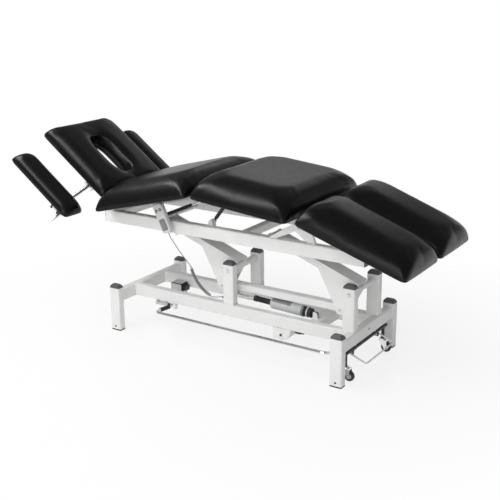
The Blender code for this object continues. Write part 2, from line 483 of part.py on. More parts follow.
def build_sections(white, black, chrome):
    drop = -PAD_DROP - GAP
    mid = section(APEX_X, APEX_Z, MID_TILT)
    back = section(APEX_X, APEX_Z, BACK_TILT)
    leg = section(LEG_AXIS_X, LEG_AXIS_Z, LEG_TILT)
    head = section(HEAD_AXIS_X, HEAD_AXIS_Z, HEAD_TILT)
    mid_pivot, apex = (MID_AXIS_X, 0, MID_AXIS_Z), (APEX_X, 0, APEX_Z)
    leg_pivot, head_pivot = (LEG_AXIS_X, 0, LEG_AXIS_Z), (HEAD_AXIS_X, 0, HEAD_AXIS_Z)
    hub = mid.inverted() @ Vector(mid_pivot)
    wide = PAD_HALF_W

    def bars(frame, x0, x1, y, size=BAR):
        z = drop - size / 2 - BAR_LOW
        return both(moved(beam((x0, y, z), (x1, y, z), size, size, 0), frame))

    def rung(frame, x, y, size=BAR):
        z = drop - size / 2 - BAR_LOW
        return moved(beam((x, -y, z), (x, y, z), size * 0.9, size * 0.9, 0), frame)

    def slat(frame, x, y0, y1):
        return moved(beam((x, y0, drop - 0.004), (x, y1, drop - 0.004), 0.040, 0.008, 0), frame)

    def slats(frame, xs, y):
        return [slat(frame, x, -y, y) for x in xs]

    # middle section, on the rod across the leg-end brackets
    parts = bars(mid, 0.012, 0.470, 0.130) + [rung(mid, 0.070, 0.134), rung(mid, 0.430, 0.134)]
    parts += slats(mid, (0.120, 0.380), 0.240)
    parts += both(ear(0, 0.130, 0, 1, 0.040, mid))
    post = [(hub.x - 0.014, hub.z), (hub.x - 0.010, hub.z - 0.012), (hub.x + 0.010, hub.z - 0.012),
            (hub.x + 0.014, hub.z), (hub.x + 0.012, drop - 0.020), (hub.x - 0.045, drop - 0.020)]
    parts += both(moved(plate(post, 0.121, 0.139), mid))
    for along, y in ((LONG_STRUT_X, LONG_STRUT_Y), (SHORT_STRUT_X, SHORT_STRUT_Y)):
        pin = mid @ Vector((along, 0, BAR_Z))
        parts.append(cross(pin.x, pin.z, -y + 0.0045, -0.125, 0.006, 12))
    parts.append(cross(APEX_X, APEX_Z, -0.140, 0.140, HINGE_ROD_R, 12))
    bore = cross(MID_AXIS_X, MID_AXIS_Z, -0.3, 0.3, running(MID_ROD_R, 16), 16)
    weld("middle_frame", parts, white, [bore], mid_pivot)
    lift = Matrix.Translation((0, 0, -PAD_DROP))
    pad = cushion(MID_X0, MID_X1, -wide, wide, MID_T)
    solid("middle_cushion", moved(pad, mid @ lift), black, mid_pivot)

    # back section
    parts = bars(back, -0.520, -0.012, 0.108) + [rung(back, -0.080, 0.112), rung(back, -0.490, 0.112)]
    parts += slats(back, (-0.140, -0.420), 0.240) + both(ear(0, 0.1175, 0, -1, 0.040, back))
    local = back.inverted() @ Vector(head_pivot)
    tab = [(local.x - 0.0085, local.z), (local.x - 0.006, local.z - 0.010), (local.x + 0.060, drop - 0.034),
           (local.x + 0.110, drop - 0.034), (local.x + 0.110, drop - 0.012), (local.x + 0.040, drop - 0.012),
           (local.x + 0.006, local.z + 0.0085), (local.x - 0.006, local.z + 0.0085)]
    parts += both(moved(plate(tab, 0.108, 0.118), back))
    parts.append(cross(HEAD_AXIS_X, HEAD_AXIS_Z, -0.116, 0.116, HINGE_ROD_R, 12))
    weld("back_frame", parts, white, [cross(APEX_X, APEX_Z, -0.3, 0.3, running(HINGE_ROD_R), 12)], apex)
    pad = cushion(BACK_X0, BACK_X1, -wide, wide, BACK_T)
    solid("back_cushion", moved(pad, back @ lift), black, apex)

    # two leg sections
    for name, s in (("near", -1), ("far", 1)):
        y0, y1 = sorted((s * LEG_GAP / 2, s * wide))
        parts = []
        for y in (0.060, 0.165):
            parts.append(moved(beam((0.030, s * y, BAR_Z), (0.440, s * y, BAR_Z), BAR, BAR, 0), leg))
            parts.append(ear(0, s * y, 0, 1, 0.036, leg, 0.060))
        for x in (0.100, 0.400):
            parts.append(moved(beam((x, s * 0.056, BAR_Z), (x, s * 0.169, BAR_Z), 0.022, 0.022, 0), leg))
        parts += [slat(leg, x, s * 0.030, s * 0.300) for x in (0.160, 0.340)]
        cuts = [cross(LEG_AXIS_X, LEG_AXIS_Z, -0.3, 0.3, running(HINGE_ROD_R), 12)]
        weld(f"{name}_leg_frame", parts, white, cuts, leg_pivot)
        pad = cushion(LEG_X0, LEG_X1, y0, y1, LEG_T)
        solid(f"{name}_leg_cushion", moved(pad, leg @ lift), black, leg_pivot)

    # head section with its face opening and two armrests
    parts = bars(head, -0.440, -0.012, 0.088, 0.020)
    parts += [rung(head, x, 0.092, 0.020) for x in (-0.070, -0.430)]
    parts += slats(head, (-0.090, -0.415), 0.150) + both(ear(0, 0.096, 0, -1, 0.036, head))
    boss, z = (ARM_TUBE_X, ARM_TUBE_Y, ARM_TUBE_W), drop - 0.016
    yoke = beam((ARM_TUBE_X, -0.190, z), (ARM_TUBE_X, 0.190, z), 0.030, 0.014, 0.002)
    parts.append(moved(yoke, head))
    end = ARM_TUBE_Y + 0.010
    fork = [(-0.028, 0.180), (0.028, 0.180), (0.028, end), (0.019, end), (0.019, 0.192),
            (-0.019, 0.192), (-0.019, end), (-0.028, end)]
    fork = loft([[(ARM_TUBE_X + x, y, drop + z) for x, y in fork] for z in (-0.028, -0.004)])
    parts += both(moved(fork, head))
    pin = cylinder((boss[0] - 0.027, boss[1], boss[2]), (boss[0] + 0.027, boss[1], boss[2]), 0.004, 12)
    parts += both(moved(pin, head))
    bore = cross(HEAD_AXIS_X, HEAD_AXIS_Z, -0.3, 0.3, running(HINGE_ROD_R), 12)
    weld("head_frame", parts, white, [bore], head_pivot)
    pad = holed_cushion(HEAD_X0, HEAD_X1, -HEAD_HALF_W, HEAD_HALF_W, HEAD_T, HOLE_X, HOLE_LONG, HOLE_WIDE)
    solid("head_cushion", moved(pad, head @ lift), black, head_pivot)
    build_armrests(head, black, chrome)


def build_armrests(head, black, chrome):
    slope = math.radians(ARM_SLOPE)
    out = Vector((0, math.cos(slope), -math.sin(slope)))
    root = Vector((ARM_TUBE_X, ARM_TUBE_Y, ARM_TUBE_W))
    end = root + out * ARM_REACH

    def along(point, half, r):
        return cylinder(point - Vector((half, 0, 0)), point + Vector((half, 0, 0)), r, 12)
    for name, s in (("near", -1), ("far", 1)):
        def put(part):
            part = part if s > 0 else mirrored(part)
            return moved(part, head)
        swing = tuple(head @ Vector((root.x, s * root.y, root.z)))
        level = tuple(head @ Vector((end.x, s * end.y, end.z)))
        hub = along(root, 0.0185, 0.011)
        tube = cylinder(root + out * 0.004, end - out * 0.004, ARM_TUBE_R, 12)
        knob = along(end, 0.016, 0.011)
        cuts = [along(p, 0.04, running(0.004)) for p in (root, end)]
        weld(f"{name}_arm_tube", [put(hub), put(tube), put(knob)], chrome, [put(c) for c in cuts], swing)
        top = ARM_PAD_W - GAP
        y = end.y
        block = [beam((end.x - 0.030, y, top - 0.005), (end.x + 0.080, y, top - 0.005), 0.060, 0.010, 0.001)]
        for x in (end.x - 0.0225, end.x + 0.0225):
            block.append(beam((x, y, top - 0.004), (x, y, end.z - 0.012), 0.022, 0.011, 0.001))
        z = top - 0.020
        block.append(beam((end.x + 0.020, y, z), (end.x + 0.066, y, z), 0.030, 0.026, 0.002))
        block.append(along(end, 0.025, 0.004))
        stub_a = Vector((end.x + 0.050, y + 0.002, top - 0.019))
        hole = cylinder(stub_a, stub_a + out * 0.05, 0.0075 + GAP, 12)
        weld(f"{name}_arm_clamp", [put(b) for b in block], black, [put(hole)], level)
        lock = cylinder(stub_a + out * 0.001, stub_a + out * 0.078, 0.0075, 12)
        solid(f"{name}_arm_lock", put(lock), chrome, level)
        pad = cushion(ARM_PAD_X0, ARM_PAD_X1, ARM_PAD_Y0, ARM_PAD_Y1, ARM_PAD_T, 3)
        pad = moved(pad, Matrix.Translation((0, 0, ARM_PAD_W)))
        solid(f"{name}_arm_cushion", put(pad), black, level)


def build_struts(black, chrome):
    """Two gas struts between the near rail and the middle section."""
    mid = section(APEX_X, APEX_Z, MID_TILT)
    rows = (("long", LONG_STRUT_FOOT, LONG_STRUT_X, -LONG_STRUT_Y),
            ("short", SHORT_STRUT_FOOT, SHORT_STRUT_X, -SHORT_STRUT_Y))
    for name, foot, along, y in rows:
        a, b = Vector((foot[0], y, foot[1])), mid @ Vector((along, y, BAR_Z))
        reach = (b - a).length
        turn = Matrix.Rotation(-math.atan2(b.z - a.z, b.x - a.x), 4, "Y")
        frame = Matrix.Translation(a) @ turn @ Matrix.Rotation(-math.pi / 2, 4, "Z")
        split = reach * 0.62
        body = lathe(((0.0045, 0.006), (0.0045, 0.0145), (STRUT_R, 0.0165), (STRUT_R, split - 0.003),
                      (STRUT_R - 0.003, split)), 12)
        bore = lathe(((STRUT_ROD_R + RUN, 0.024), (STRUT_ROD_R + RUN, reach)), 12)
        pivot = tuple(a)
        eye = moved(cross(0, 0, -0.005, 0.005, 0.010, 12), Matrix.Translation(a))
        hole = moved(cross(0, 0, -0.01, 0.01, running(STUD_R), 12), Matrix.Translation(a))
        weld(f"{name}_strut_body", [moved(body, frame), eye], black, [moved(bore, frame), hole], pivot)
        inside = split * 0.42
        rod = lathe(((0.003, inside), (STRUT_ROD_R, inside + 0.001), (STRUT_ROD_R, reach - 0.004),
                     (0.003, reach - 0.003)), 12)
        eye = moved(cross(0, 0, -0.004, 0.004, 0.008, 12), Matrix.Translation(b))
        weld(f"{name}_strut_rod", [moved(rod, frame), eye], chrome, pivot=pivot)


def bent_bar(points, r, bend, count=8, steps=4):
    """Round bar along a path whose corners are bent to a radius."""
    pts = [Vector(p) for p in points]
    path = [pts[0]]
    for a, b, c in zip(pts, pts[1:], pts[2:]):
        u, v = (a - b).normalized(), (c - b).normalized()
        half = u.angle(v) / 2
        cut = bend / math.tan(half)
        centre = b + (u + v).normalized() * (bend / math.sin(half))
        p, q = b + u * cut - centre, b + v * cut - centre
        path += [centre + p.slerp(q, k / steps).normalized() * bend for k in range(steps + 1)]
    path.append(pts[-1])
    normal = (pts[1] - pts[0]).cross(pts[2] - pts[1]).normalized()
    turn = [2 * math.pi * k / count for k in range(count)]
    rings = []
    for i, p in enumerate(path):
        along = (path[min(i + 1, len(path) - 1)] - path[max(i - 1, 0)]).normalized()
        side = normal.cross(along).normalized()
        rings.append([p + side * (r * math.cos(t)) + normal * (r * math.sin(t)) for t in turn])
    return loft(rings)


def build_foot_parts(chrome, black, grey, white):
    z, y = FOOT_AXIS_Z, -BEAM_Y
    pivot = (0, y, z)
    run, end, rise = -FOOT_RUN_Y, FOOT_X1 + 0.040, z + 0.012
    bar = bent_bar([(FOOT_X0, y - 0.004, z), (FOOT_X0, run, rise), (end, run, rise), (end, y - 0.004, z)],
                   FOOT_BAR_R, 0.034)
    hubs = []
    for x, way in ((FOOT_X0, 1), (end, -1)):
        a, b = sorted((x - way * 0.008, x + way * 0.0145 - way * 0.0015))
        hubs.append(cylinder((a, y, z), (b, y, z), 0.010, 12))
        a, b = sorted((x, x + way * 0.028))
        hubs.append(cylinder((a, y, z), (b, y, z), 0.005, 12))
    weld("foot_bar", [bar] + hubs, chrome, pivot=pivot)

    beam_low = CROSS_Z - TUBE_W / 2
    slab = beam((CASTOR_X, -0.214, CARRIER_Z), (CASTOR_X, 0.214, CARRIER_Z), 0.024, 0.012, 0.002)
    lugs = [plate([(CASTOR_X - 0.009, CARRIER_Z - 0.004), (CASTOR_X + 0.009, CARRIER_Z - 0.004),
                   (CASTOR_X + 0.007, BAIL_AXIS_Z - 0.009), (CASTOR_X - 0.007, BAIL_AXIS_Z - 0.009)],
                  s * (BAIL_Y - 0.014) - 0.004, s * (BAIL_Y - 0.014) + 0.004) for s in (-1, 1)]
    stems = [cylinder((CASTOR_X, y, CARRIER_Z), (CASTOR_X, y, 0.068), 0.008, 16)
             for y in (-CASTOR_Y, CASTOR_Y)]
    cuts = [cross(CASTOR_X, BAIL_AXIS_Z, -0.2, 0.2, running(BAIL_R), 12)]
    cuts += [cylinder((CASTOR_X, y, 0.1), (CASTOR_X, y, 0.15), GUIDE_R + RUN, 12)
             for y in (-GUIDE_Y, GUIDE_Y)]
    weld("castor_carrier", [slab] + lugs + stems, black, cuts, (CASTOR_X, 0, CARRIER_Z))
    assert beam_low > CARRIER_Z + 0.006
    out, low, inner = CASTOR_X + BAIL_REACH, BAIL_AXIS_Z - BAIL_DROP, BAIL_Y - 0.024
    bail = bent_bar([(CASTOR_X, -inner, BAIL_AXIS_Z), (CASTOR_X, -BAIL_Y, BAIL_AXIS_Z), (out, -BAIL_Y, low),
                     (out, BAIL_Y, low), (CASTOR_X, BAIL_Y, BAIL_AXIS_Z), (CASTOR_X, inner, BAIL_AXIS_Z)],
                    BAIL_R, 0.0085, 8, 3)
    solid("castor_bail", bail, white, (CASTOR_X, 0, BAIL_AXIS_Z))
    hub_z = WHEEL_R + 0.0005
    for name, s in (("near", -1), ("far", 1)):
        y, x = s * CASTOR_Y, CASTOR_X + CASTOR_TRAIL
        top = 0.0675
        cap = cylinder((CASTOR_X, y, top - 0.006), (CASTOR_X, y, top), 0.016, 16)
        front, rear = CASTOR_X - 0.014, CASTOR_X + 0.024
        crown = beam((front, y, top - 0.009), (rear, y, top - 0.009), 0.0300, 0.008, 0.001)
        cheek = [(front, top - 0.006), (rear, top - 0.006), (x + 0.009, hub_z + 0.006),
                 (x + 0.006, hub_z - 0.008), (x - 0.006, hub_z - 0.008), (x - 0.009, hub_z + 0.002)]
        parts = [cap, crown] + [plate(cheek, y + d - 0.0015, y + d + 0.0015) for d in (-0.0135, 0.0135)]
        axle = lathe(((0.005, -0.0180), (0.006, -0.0140), (AXLE_R, -0.0138), (AXLE_R, 0.0138),
                      (0.006, 0.0140), (0.005, 0.0180)), 12)
        parts.append(moved(axle, Matrix.Translation((x, y, hub_z))))
        weld(f"{name}_castor_fork", parts, chrome, pivot=(CASTOR_X, y, top))
        half = WHEEL_W / 2
        tyre = lathe(((WHEEL_R - 0.011, -half), (WHEEL_R - 0.003, -half), (WHEEL_R - 0.0006, -half + 0.003),
                      (WHEEL_R, 0), (WHEEL_R - 0.0006, half - 0.003), (WHEEL_R - 0.003, half),
                      (WHEEL_R - 0.011, half)), 16)
        place = Matrix.Translation((x, y, hub_z))
        seat = lathe(((WHEEL_R - 0.0105, -0.02), (WHEEL_R - 0.0105, 0.02)), 16)
        weld(f"{name}_castor_tyre", [moved(tyre, place)], black, [moved(seat, place)], (x, y, hub_z))
        rim = WHEEL_R - 0.0108
        hub = lathe(((AXLE_R + 0.003, -half - 0.001), (rim, -half + 0.002), (rim, half - 0.002),
                     (AXLE_R + 0.003, half + 0.001)), 16)
        bore = cross(x, hub_z, y - 0.03, y + 0.03, running(AXLE_R), 12)
        weld(f"{name}_castor_hub", [moved(hub, place)], grey, [bore], (x, y, hub_z))


def build_handset(light, grey):
    frame = (Matrix.Translation((HAND_X, HAND_Y, HAND_Z)) @ Matrix.Rotation(math.radians(-HAND_TILT), 4, "Y")
             @ Matrix.Rotation(math.pi / 2, 4, "X"))
    w, l, t = HAND_W / 2, HAND_L / 2, HAND_T / 2
    rings = []
    for inset, height in ((0.006, -t), (0.001, -t + 0.004), (0, 0), (0.001, t - 0.004), (0.005, t)):
        outline = rounded(-w + inset, w - inset, -l + inset, l - inset, 0.018 - inset, 3)
        rings.append([(x, y, height) for x, y in outline])
    case = loft(rings)
    spots = [(s * 0.0120, l - 0.034) for s in (-1, 1)]
    wells = [cylinder((x, y, t - 0.004), (x, y, t + 0.010), 0.0085, 16) for x, y in spots]
    recess = loft([[(x, y, z) for x, y in rounded(-w + 0.010, w - 0.010, -l + 0.012, l - 0.078, 0.008, 3)]
                   for z in (t - 0.001, t + 0.01)])
    boss = cylinder((0, -l + 0.004, 0), (0, -l - BOSS_L, 0), 0.0050, 12)
    cuts = [moved(c, frame) for c in wells + [recess]]
    weld("handset_case", [moved(case, frame), moved(boss, frame)], light, cuts)
    names = ("raise_button", "lower_button")
    turn = [a * math.pi / 6 for a in range(12)]
    for name, (x, y) in zip(names, spots):
        key = loft([[(x + r * math.cos(a), y + r * math.sin(a), z) for a in turn]
                    for r, z in ((0.0082, t - 0.0020), (0.0082, t + 0.0012), (0.0066, t + 0.0024))])
        solid(name, moved(key, frame), grey, tuple(frame @ Vector((x, y, t))))
    return frame


def smooth(points, step):
    """Points every step along a smooth curve through the route's own points."""
    pts = [points[0] * 2 - points[1]] + points + [points[-1] * 2 - points[-2]]
    out = []
    for a, b, c, d in zip(pts, pts[1:], pts[2:], pts[3:]):
        count = max(2, round((c - b).length / step))
        for k in range(count):
            t = k / count
            out.append((b * 2 + (c - a) * t + (a * 2 - b * 5 + c * 4 - d) * t ** 2
                        + (b * 3 - a - c * 3 + d) * t ** 3) / 2)
    return out + [points[-1]]


def cord_path(frame):
    """Lead from the handset, curls, then the tail into the gland on the first upright."""
    start = frame @ Vector((0, -HAND_L / 2 - BOSS_L - GAP, 0))
    down = (frame.to_3x3() @ Vector((0, -1, 0))).normalized()
    first, mid, last = (Vector(p) for p in CURL_ROUTE)
    end = Vector((UPRIGHT_1_X - TUBE_W / 2 - 2 * GAP - GLAND_L, -BEAM_Y, GLAND_Z))
    bend = mid * 2 - (first + last) / 2

    def axis(s):
        return first * (1 - s) ** 2 + bend * (2 * s * (1 - s)) + last * s ** 2
    head = (axis(0.02) - axis(0)).normalized()
    tail = (axis(1) - axis(0.98)).normalized()
    square = 3 * CORD_R
    lead = [start + down * square, start + down * 0.017,
            start.lerp(first, 0.5) + Vector((-0.004, 0, -0.003)), first - head * 0.012, first]
    pts = [start] + smooth(lead, 0.011)
    total = CURLS * CURL_STEPS
    for i in range(1, total):
        s = i / total
        along = (axis(min(s + 0.01, 1)) - axis(max(s - 0.01, 0))).normalized()
        u = along.cross(Vector((0, 1, 0))).normalized()
        v = along.cross(u)
        ease = min(1.0, i / CURL_STEPS, (total - i) / CURL_STEPS)
        t = 2 * math.pi * i / CURL_STEPS
        pts.append(axis(s) + (u * math.cos(t) + v * math.sin(t)) * (CURL_R * ease))
    run = [last, last + tail * 0.010, last.lerp(end, 0.62) + Vector((0, 0, -0.003)),
           end - Vector((0.014, 0, 0)), end - Vector((square, 0, 0))]
    return pts + smooth(run, 0.011) + [end]


def build_cord(grey, frame):
    pts = cord_path(frame)
    curve = bpy.data.curves.new("handset_cord", "CURVE")
    curve.dimensions = "3D"
    curve.bevel_depth, curve.bevel_resolution = CORD_R, 1
    curve.use_fill_caps = True
    spline = curve.splines.new("POLY")
    spline.points.add(len(pts) - 1)
    for point, p in zip(spline.points, pts):
        point.co = (*p, 1.0)
    obj = bpy.data.objects.new("handset_cord", curve)
    obj.location.x = -CENTRE_X
    curve.materials.append(own(grey, "handset_cord"))
    bpy.context.scene.collection.objects.link(obj)
    count, apart = len(pts), CURL_STEPS // 2 + 1
    least = min((pts[i] - pts[j]).length for i in range(count) for j in range(i + apart, count))
    print(f"cord length {sum((b - a).length for a, b in zip(pts, pts[1:])):.3f} m, "
          f"least self gap {(least - 2 * CORD_R) * 1000:.2f} mm")


clear()
POWDER = material("white_powder_coat", (0.85, 0.85, 0.83), 0.40)
PLASTIC = material("grey_plastic", (0.20, 0.20, 0.21), 0.50)
LIGHT = material("light_grey_plastic", (0.68, 0.69, 0.69), 0.45)
RUBBER = material("black_rubber", (0.03, 0.03, 0.03), 0.70)
VINYL = material("black_upholstery", (0.02, 0.02, 0.02), 0.38)
CHROME = material("chrome", (0.75, 0.76, 0.78), 0.12, 1.0)

build_base(POWDER, PLASTIC, RUBBER)
build_lift(POWDER, LIGHT, RUBBER, CHROME)
build_upper_frame(POWDER)
build_sections(POWDER, VINYL, CHROME)
build_struts(RUBBER, CHROME)
build_foot_parts(CHROME, RUBBER, LIGHT, POWDER)
build_cord(PLASTIC, build_handset(LIGHT, PLASTIC))
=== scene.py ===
"""Looks of an electric multi-section examination table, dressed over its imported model.

Metres and degrees, +Z up: the head end points along -X and the handset side is -Y.
"""

import math

import bmesh
import bpy
import numpy as np
from mathutils import Matrix, Vector
from mathutils.bvhtree import BVHTree


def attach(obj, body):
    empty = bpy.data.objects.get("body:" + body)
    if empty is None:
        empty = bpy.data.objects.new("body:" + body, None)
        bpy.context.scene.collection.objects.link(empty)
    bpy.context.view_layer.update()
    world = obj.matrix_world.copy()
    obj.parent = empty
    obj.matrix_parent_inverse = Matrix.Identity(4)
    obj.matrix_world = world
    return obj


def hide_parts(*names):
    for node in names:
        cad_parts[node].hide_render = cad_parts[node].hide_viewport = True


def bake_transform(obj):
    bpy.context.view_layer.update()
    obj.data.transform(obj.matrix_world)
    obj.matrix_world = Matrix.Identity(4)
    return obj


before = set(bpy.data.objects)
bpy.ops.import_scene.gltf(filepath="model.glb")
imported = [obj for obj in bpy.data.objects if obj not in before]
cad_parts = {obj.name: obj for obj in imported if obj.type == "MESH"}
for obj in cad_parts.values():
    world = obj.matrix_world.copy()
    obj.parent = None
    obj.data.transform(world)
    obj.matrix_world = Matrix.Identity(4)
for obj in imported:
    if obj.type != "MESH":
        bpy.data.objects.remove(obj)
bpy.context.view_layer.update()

# The drawing's origin lies this far from the middle of the table
CENTRE_X = 0.0086

# Hinges as (x, z) and tilts of the upholstered sections
APEX, LEG_HINGE, HEAD_HINGE = (-0.032, 0.778), (0.512, 0.738), (-0.615, 0.655)
MID_TILT, BACK_TILT, LEG_TILT, HEAD_TILT = 5.6, -14.0, 18.1, 36.5
PAD_DROP, PAD_HALF_W, LEG_GAP = 0.010, 0.335, 0.010
HOLE_X, HOLE_LONG, HOLE_WIDE = -0.255, 0.112, 0.050
FACE_X, FACE_LONG, FACE_WIDE = HOLE_X + 0.008, HOLE_LONG + 0.022, HOLE_WIDE + 0.008

# Handset and its cord
HAND_X, HAND_Y, HAND_Z, HAND_TILT, HAND_L = -0.241, -0.262, 0.632, 25.0, 0.148
BOSS_L, GLAND_L, GLAND_Z, GAP = 0.010, 0.014, 0.234, 0.0003
CORD_R, CURL_R, CURLS, CURL_STEPS = 0.0021, 0.0058, 31, 24
CURL_ROUTE = ((-0.128, -0.203, 0.386), (-0.116, -0.163, 0.294), (-0.077, -0.122, 0.2285))
CORD_STEP, LEAD_OUT, LEAD_IN, TAIL_OUT, TAIL_IN = 0.006, 0.017, 0.012, 0.010, 0.014
LEAD_SAG, TAIL_SAG = Vector((-0.004, 0, -0.003)), Vector((0, 0, -0.003))
# Sleeve as (distance past the first curl, radius)
SLEEVE = [(-0.016, 0.0024), (-0.0155, 0.0029), (-0.012, 0.0031), (-0.006, 0.0036), (-0.003, 0.0044),
          (0.004, 0.0044), (0.0065, 0.0036), (0.007, 0.0024)]

# Base and upper frame
UPRIGHT_1_X, UPRIGHT_2_X, TUBE_W, TUBE_T, BEAM_Y = 0.040, 0.684, 0.060, 0.040, 0.120
BASE_HEAD_X, BASE_FOOT_X, BASE_HALF_Y = -0.560, 0.701, 0.263
CROSS_Z, BEAM_Z, SHAFT_Z = 0.178, 0.180, 0.382
RAIL_X0, RAIL_X1, RAIL_Y, RAIL_Z = -0.632, 0.799, 0.210, 0.583

EAST, NORTH, UP = Vector((1, 0, 0)), Vector((0, 1, 0)), Vector((0, 0, 1))
SQUARE = ((-1, -1), (1, -1), (1, 1), (-1, 1))
MM = 0.001


def placed(name, data):
    """A new object in the scene."""
    obj = bpy.data.objects.new(name, data)
    bpy.context.scene.collection.objects.link(obj)
    return obj


def stand_camera():
    """Camera at the photograph's viewing angle."""
    yaw, pitch, roll = (math.radians(a) for a in (33.56, 17.21, -0.70))
    eye, focal_px, image_px, sensor_mm = (2.3744, -3.476, 1.746), 904.0, 500.0, 36.0
    ahead = Vector((-math.sin(yaw) * math.cos(pitch), math.cos(yaw) * math.cos(pitch), -math.sin(pitch)))
    level = Vector((math.cos(yaw), math.sin(yaw), 0.0))
    rise = level.cross(ahead)
    right = level * math.cos(roll) + rise * math.sin(roll)
    up = rise * math.cos(roll) - level * math.sin(roll)
    lens = bpy.data.cameras.new("camera")
    lens.sensor_width, lens.lens = sensor_mm, sensor_mm * focal_px / image_px
    camera = placed("camera", lens)
    turn = Matrix((right, up, -ahead)).transposed().to_4x4()
    camera.matrix_world = Matrix.Translation(eye) @ turn
    bpy.context.scene.camera = camera


def drawn(x, y, z):
    """A point of the drawing in the table's own frame."""
    return Vector((x - CENTRE_X, y, z))


def section(hinge, tilt):
    """Frame of a tilting section: origin on its hinge, local X along the table."""
    return Matrix.Translation(drawn(hinge[0], 0, hinge[1])) @ Matrix.Rotation(math.radians(tilt), 4, "Y")


def smooth(points, step):
    """Points every step along a smooth curve through the given points."""
    pts = [points[0] * 2 - points[1]] + list(points) + [points[-1] * 2 - points[-2]]
    out = []
    for a, b, c, d in zip(pts, pts[1:], pts[2:], pts[3:]):
        count = max(2, round((c - b).length / step))
        for k in range(count):
            t = k / count
            out.append((b * 2 + (c - a) * t + (a * 2 - b * 5 + c * 4 - d) * t ** 2
                        + (b * 3 - a - c * 3 + d) * t ** 3) / 2)
    return out + [points[-1]]


def piece(name, mesh, finish, sharp=40):
    """A finished piece at the origin, its place in its mesh."""
    mesh.name = name
    mesh.materials.clear()
    mesh.materials.append(finish)
    mesh.shade_smooth()
    mesh.set_sharp_from_angle(angle=math.radians(sharp))
    return placed(name, mesh)


def mesh_from(verts, faces, tidy=True):
    """Mesh of the given faces; tidy merges doubled points and turns the faces outward."""
    mesh = bpy.data.meshes.new("shape")
    mesh.from_pydata([tuple(v) for v in verts], [], faces)
    if tidy:
        bm = bmesh.new()
        bm.from_mesh(mesh)
        bmesh.ops.remove_doubles(bm, verts=bm.verts, dist=0.00001)
        bmesh.ops.recalc_face_normals(bm, faces=bm.faces)
        bm.to_mesh(mesh)
        bm.free()
    return mesh


def lofted(rings, closed=False):
    """Vertices and quads between equal rings, ends filled unless the loft closes on itself."""
    count = len(rings[0])
    verts = [p for ring in rings for p in ring]
    faces = []
    for i in range(len(rings) if closed else len(rings) - 1):
        a, b = i * count, ((i + 1) % len(rings)) * count
        faces += [(a + k, a + (k + 1) % count, b + (k + 1) % count, b + k) for k in range(count)]
    if not closed:
        faces.append(tuple(reversed(range(count))))
        faces.append(tuple(range((len(rings) - 1) * count, len(rings) * count)))
    return verts, faces


def around(sides):
    """Cosine and sine at even turns round a circle."""
    return [(math.cos(2 * math.pi * k / sides), math.sin(2 * math.pi * k / sides)) for k in range(sides)]


def tube_rings(path, radius, sides=12):
    """Rings of a tube along a path, carried along it without twist; radius may change along it."""
    rings, side = [], None
    for i, p in enumerate(path):
        along = (path[min(i + 1, len(path) - 1)] - path[max(i - 1, 0)]).normalized()
        if side is None:
            side = along.orthogonal().normalized()
        side = (side - along * side.dot(along)).normalized()
        other = along.cross(side)
        r = radius[i] if isinstance(radius, list) else radius
        rings.append([p + side * (r * c) + other * (r * s) for c, s in around(sides)])
    return rings


def tube_mesh(path, radius, sides=12):
    """Mesh of a tube along a path."""
    return mesh_from(*lofted(tube_rings(path, radius, sides)), tidy=False)


def turned(profile, place, sides=32):
    """Turned shape about local Z from (radius, height) pairs."""
    return lofted([[place @ Vector((r * c, r * s, z)) for c, s in around(sides)] for r, z in profile])


def joined(parts):
    """One mesh of several shapes."""
    verts, faces = [], []
    for v, f in parts:
        faces += [tuple(i + len(verts) for i in face) for face in f]
        verts += list(v)
    return mesh_from(verts, faces)


# Finishes: each is a Principled surface whose colour, roughness and relief come from its own nodes

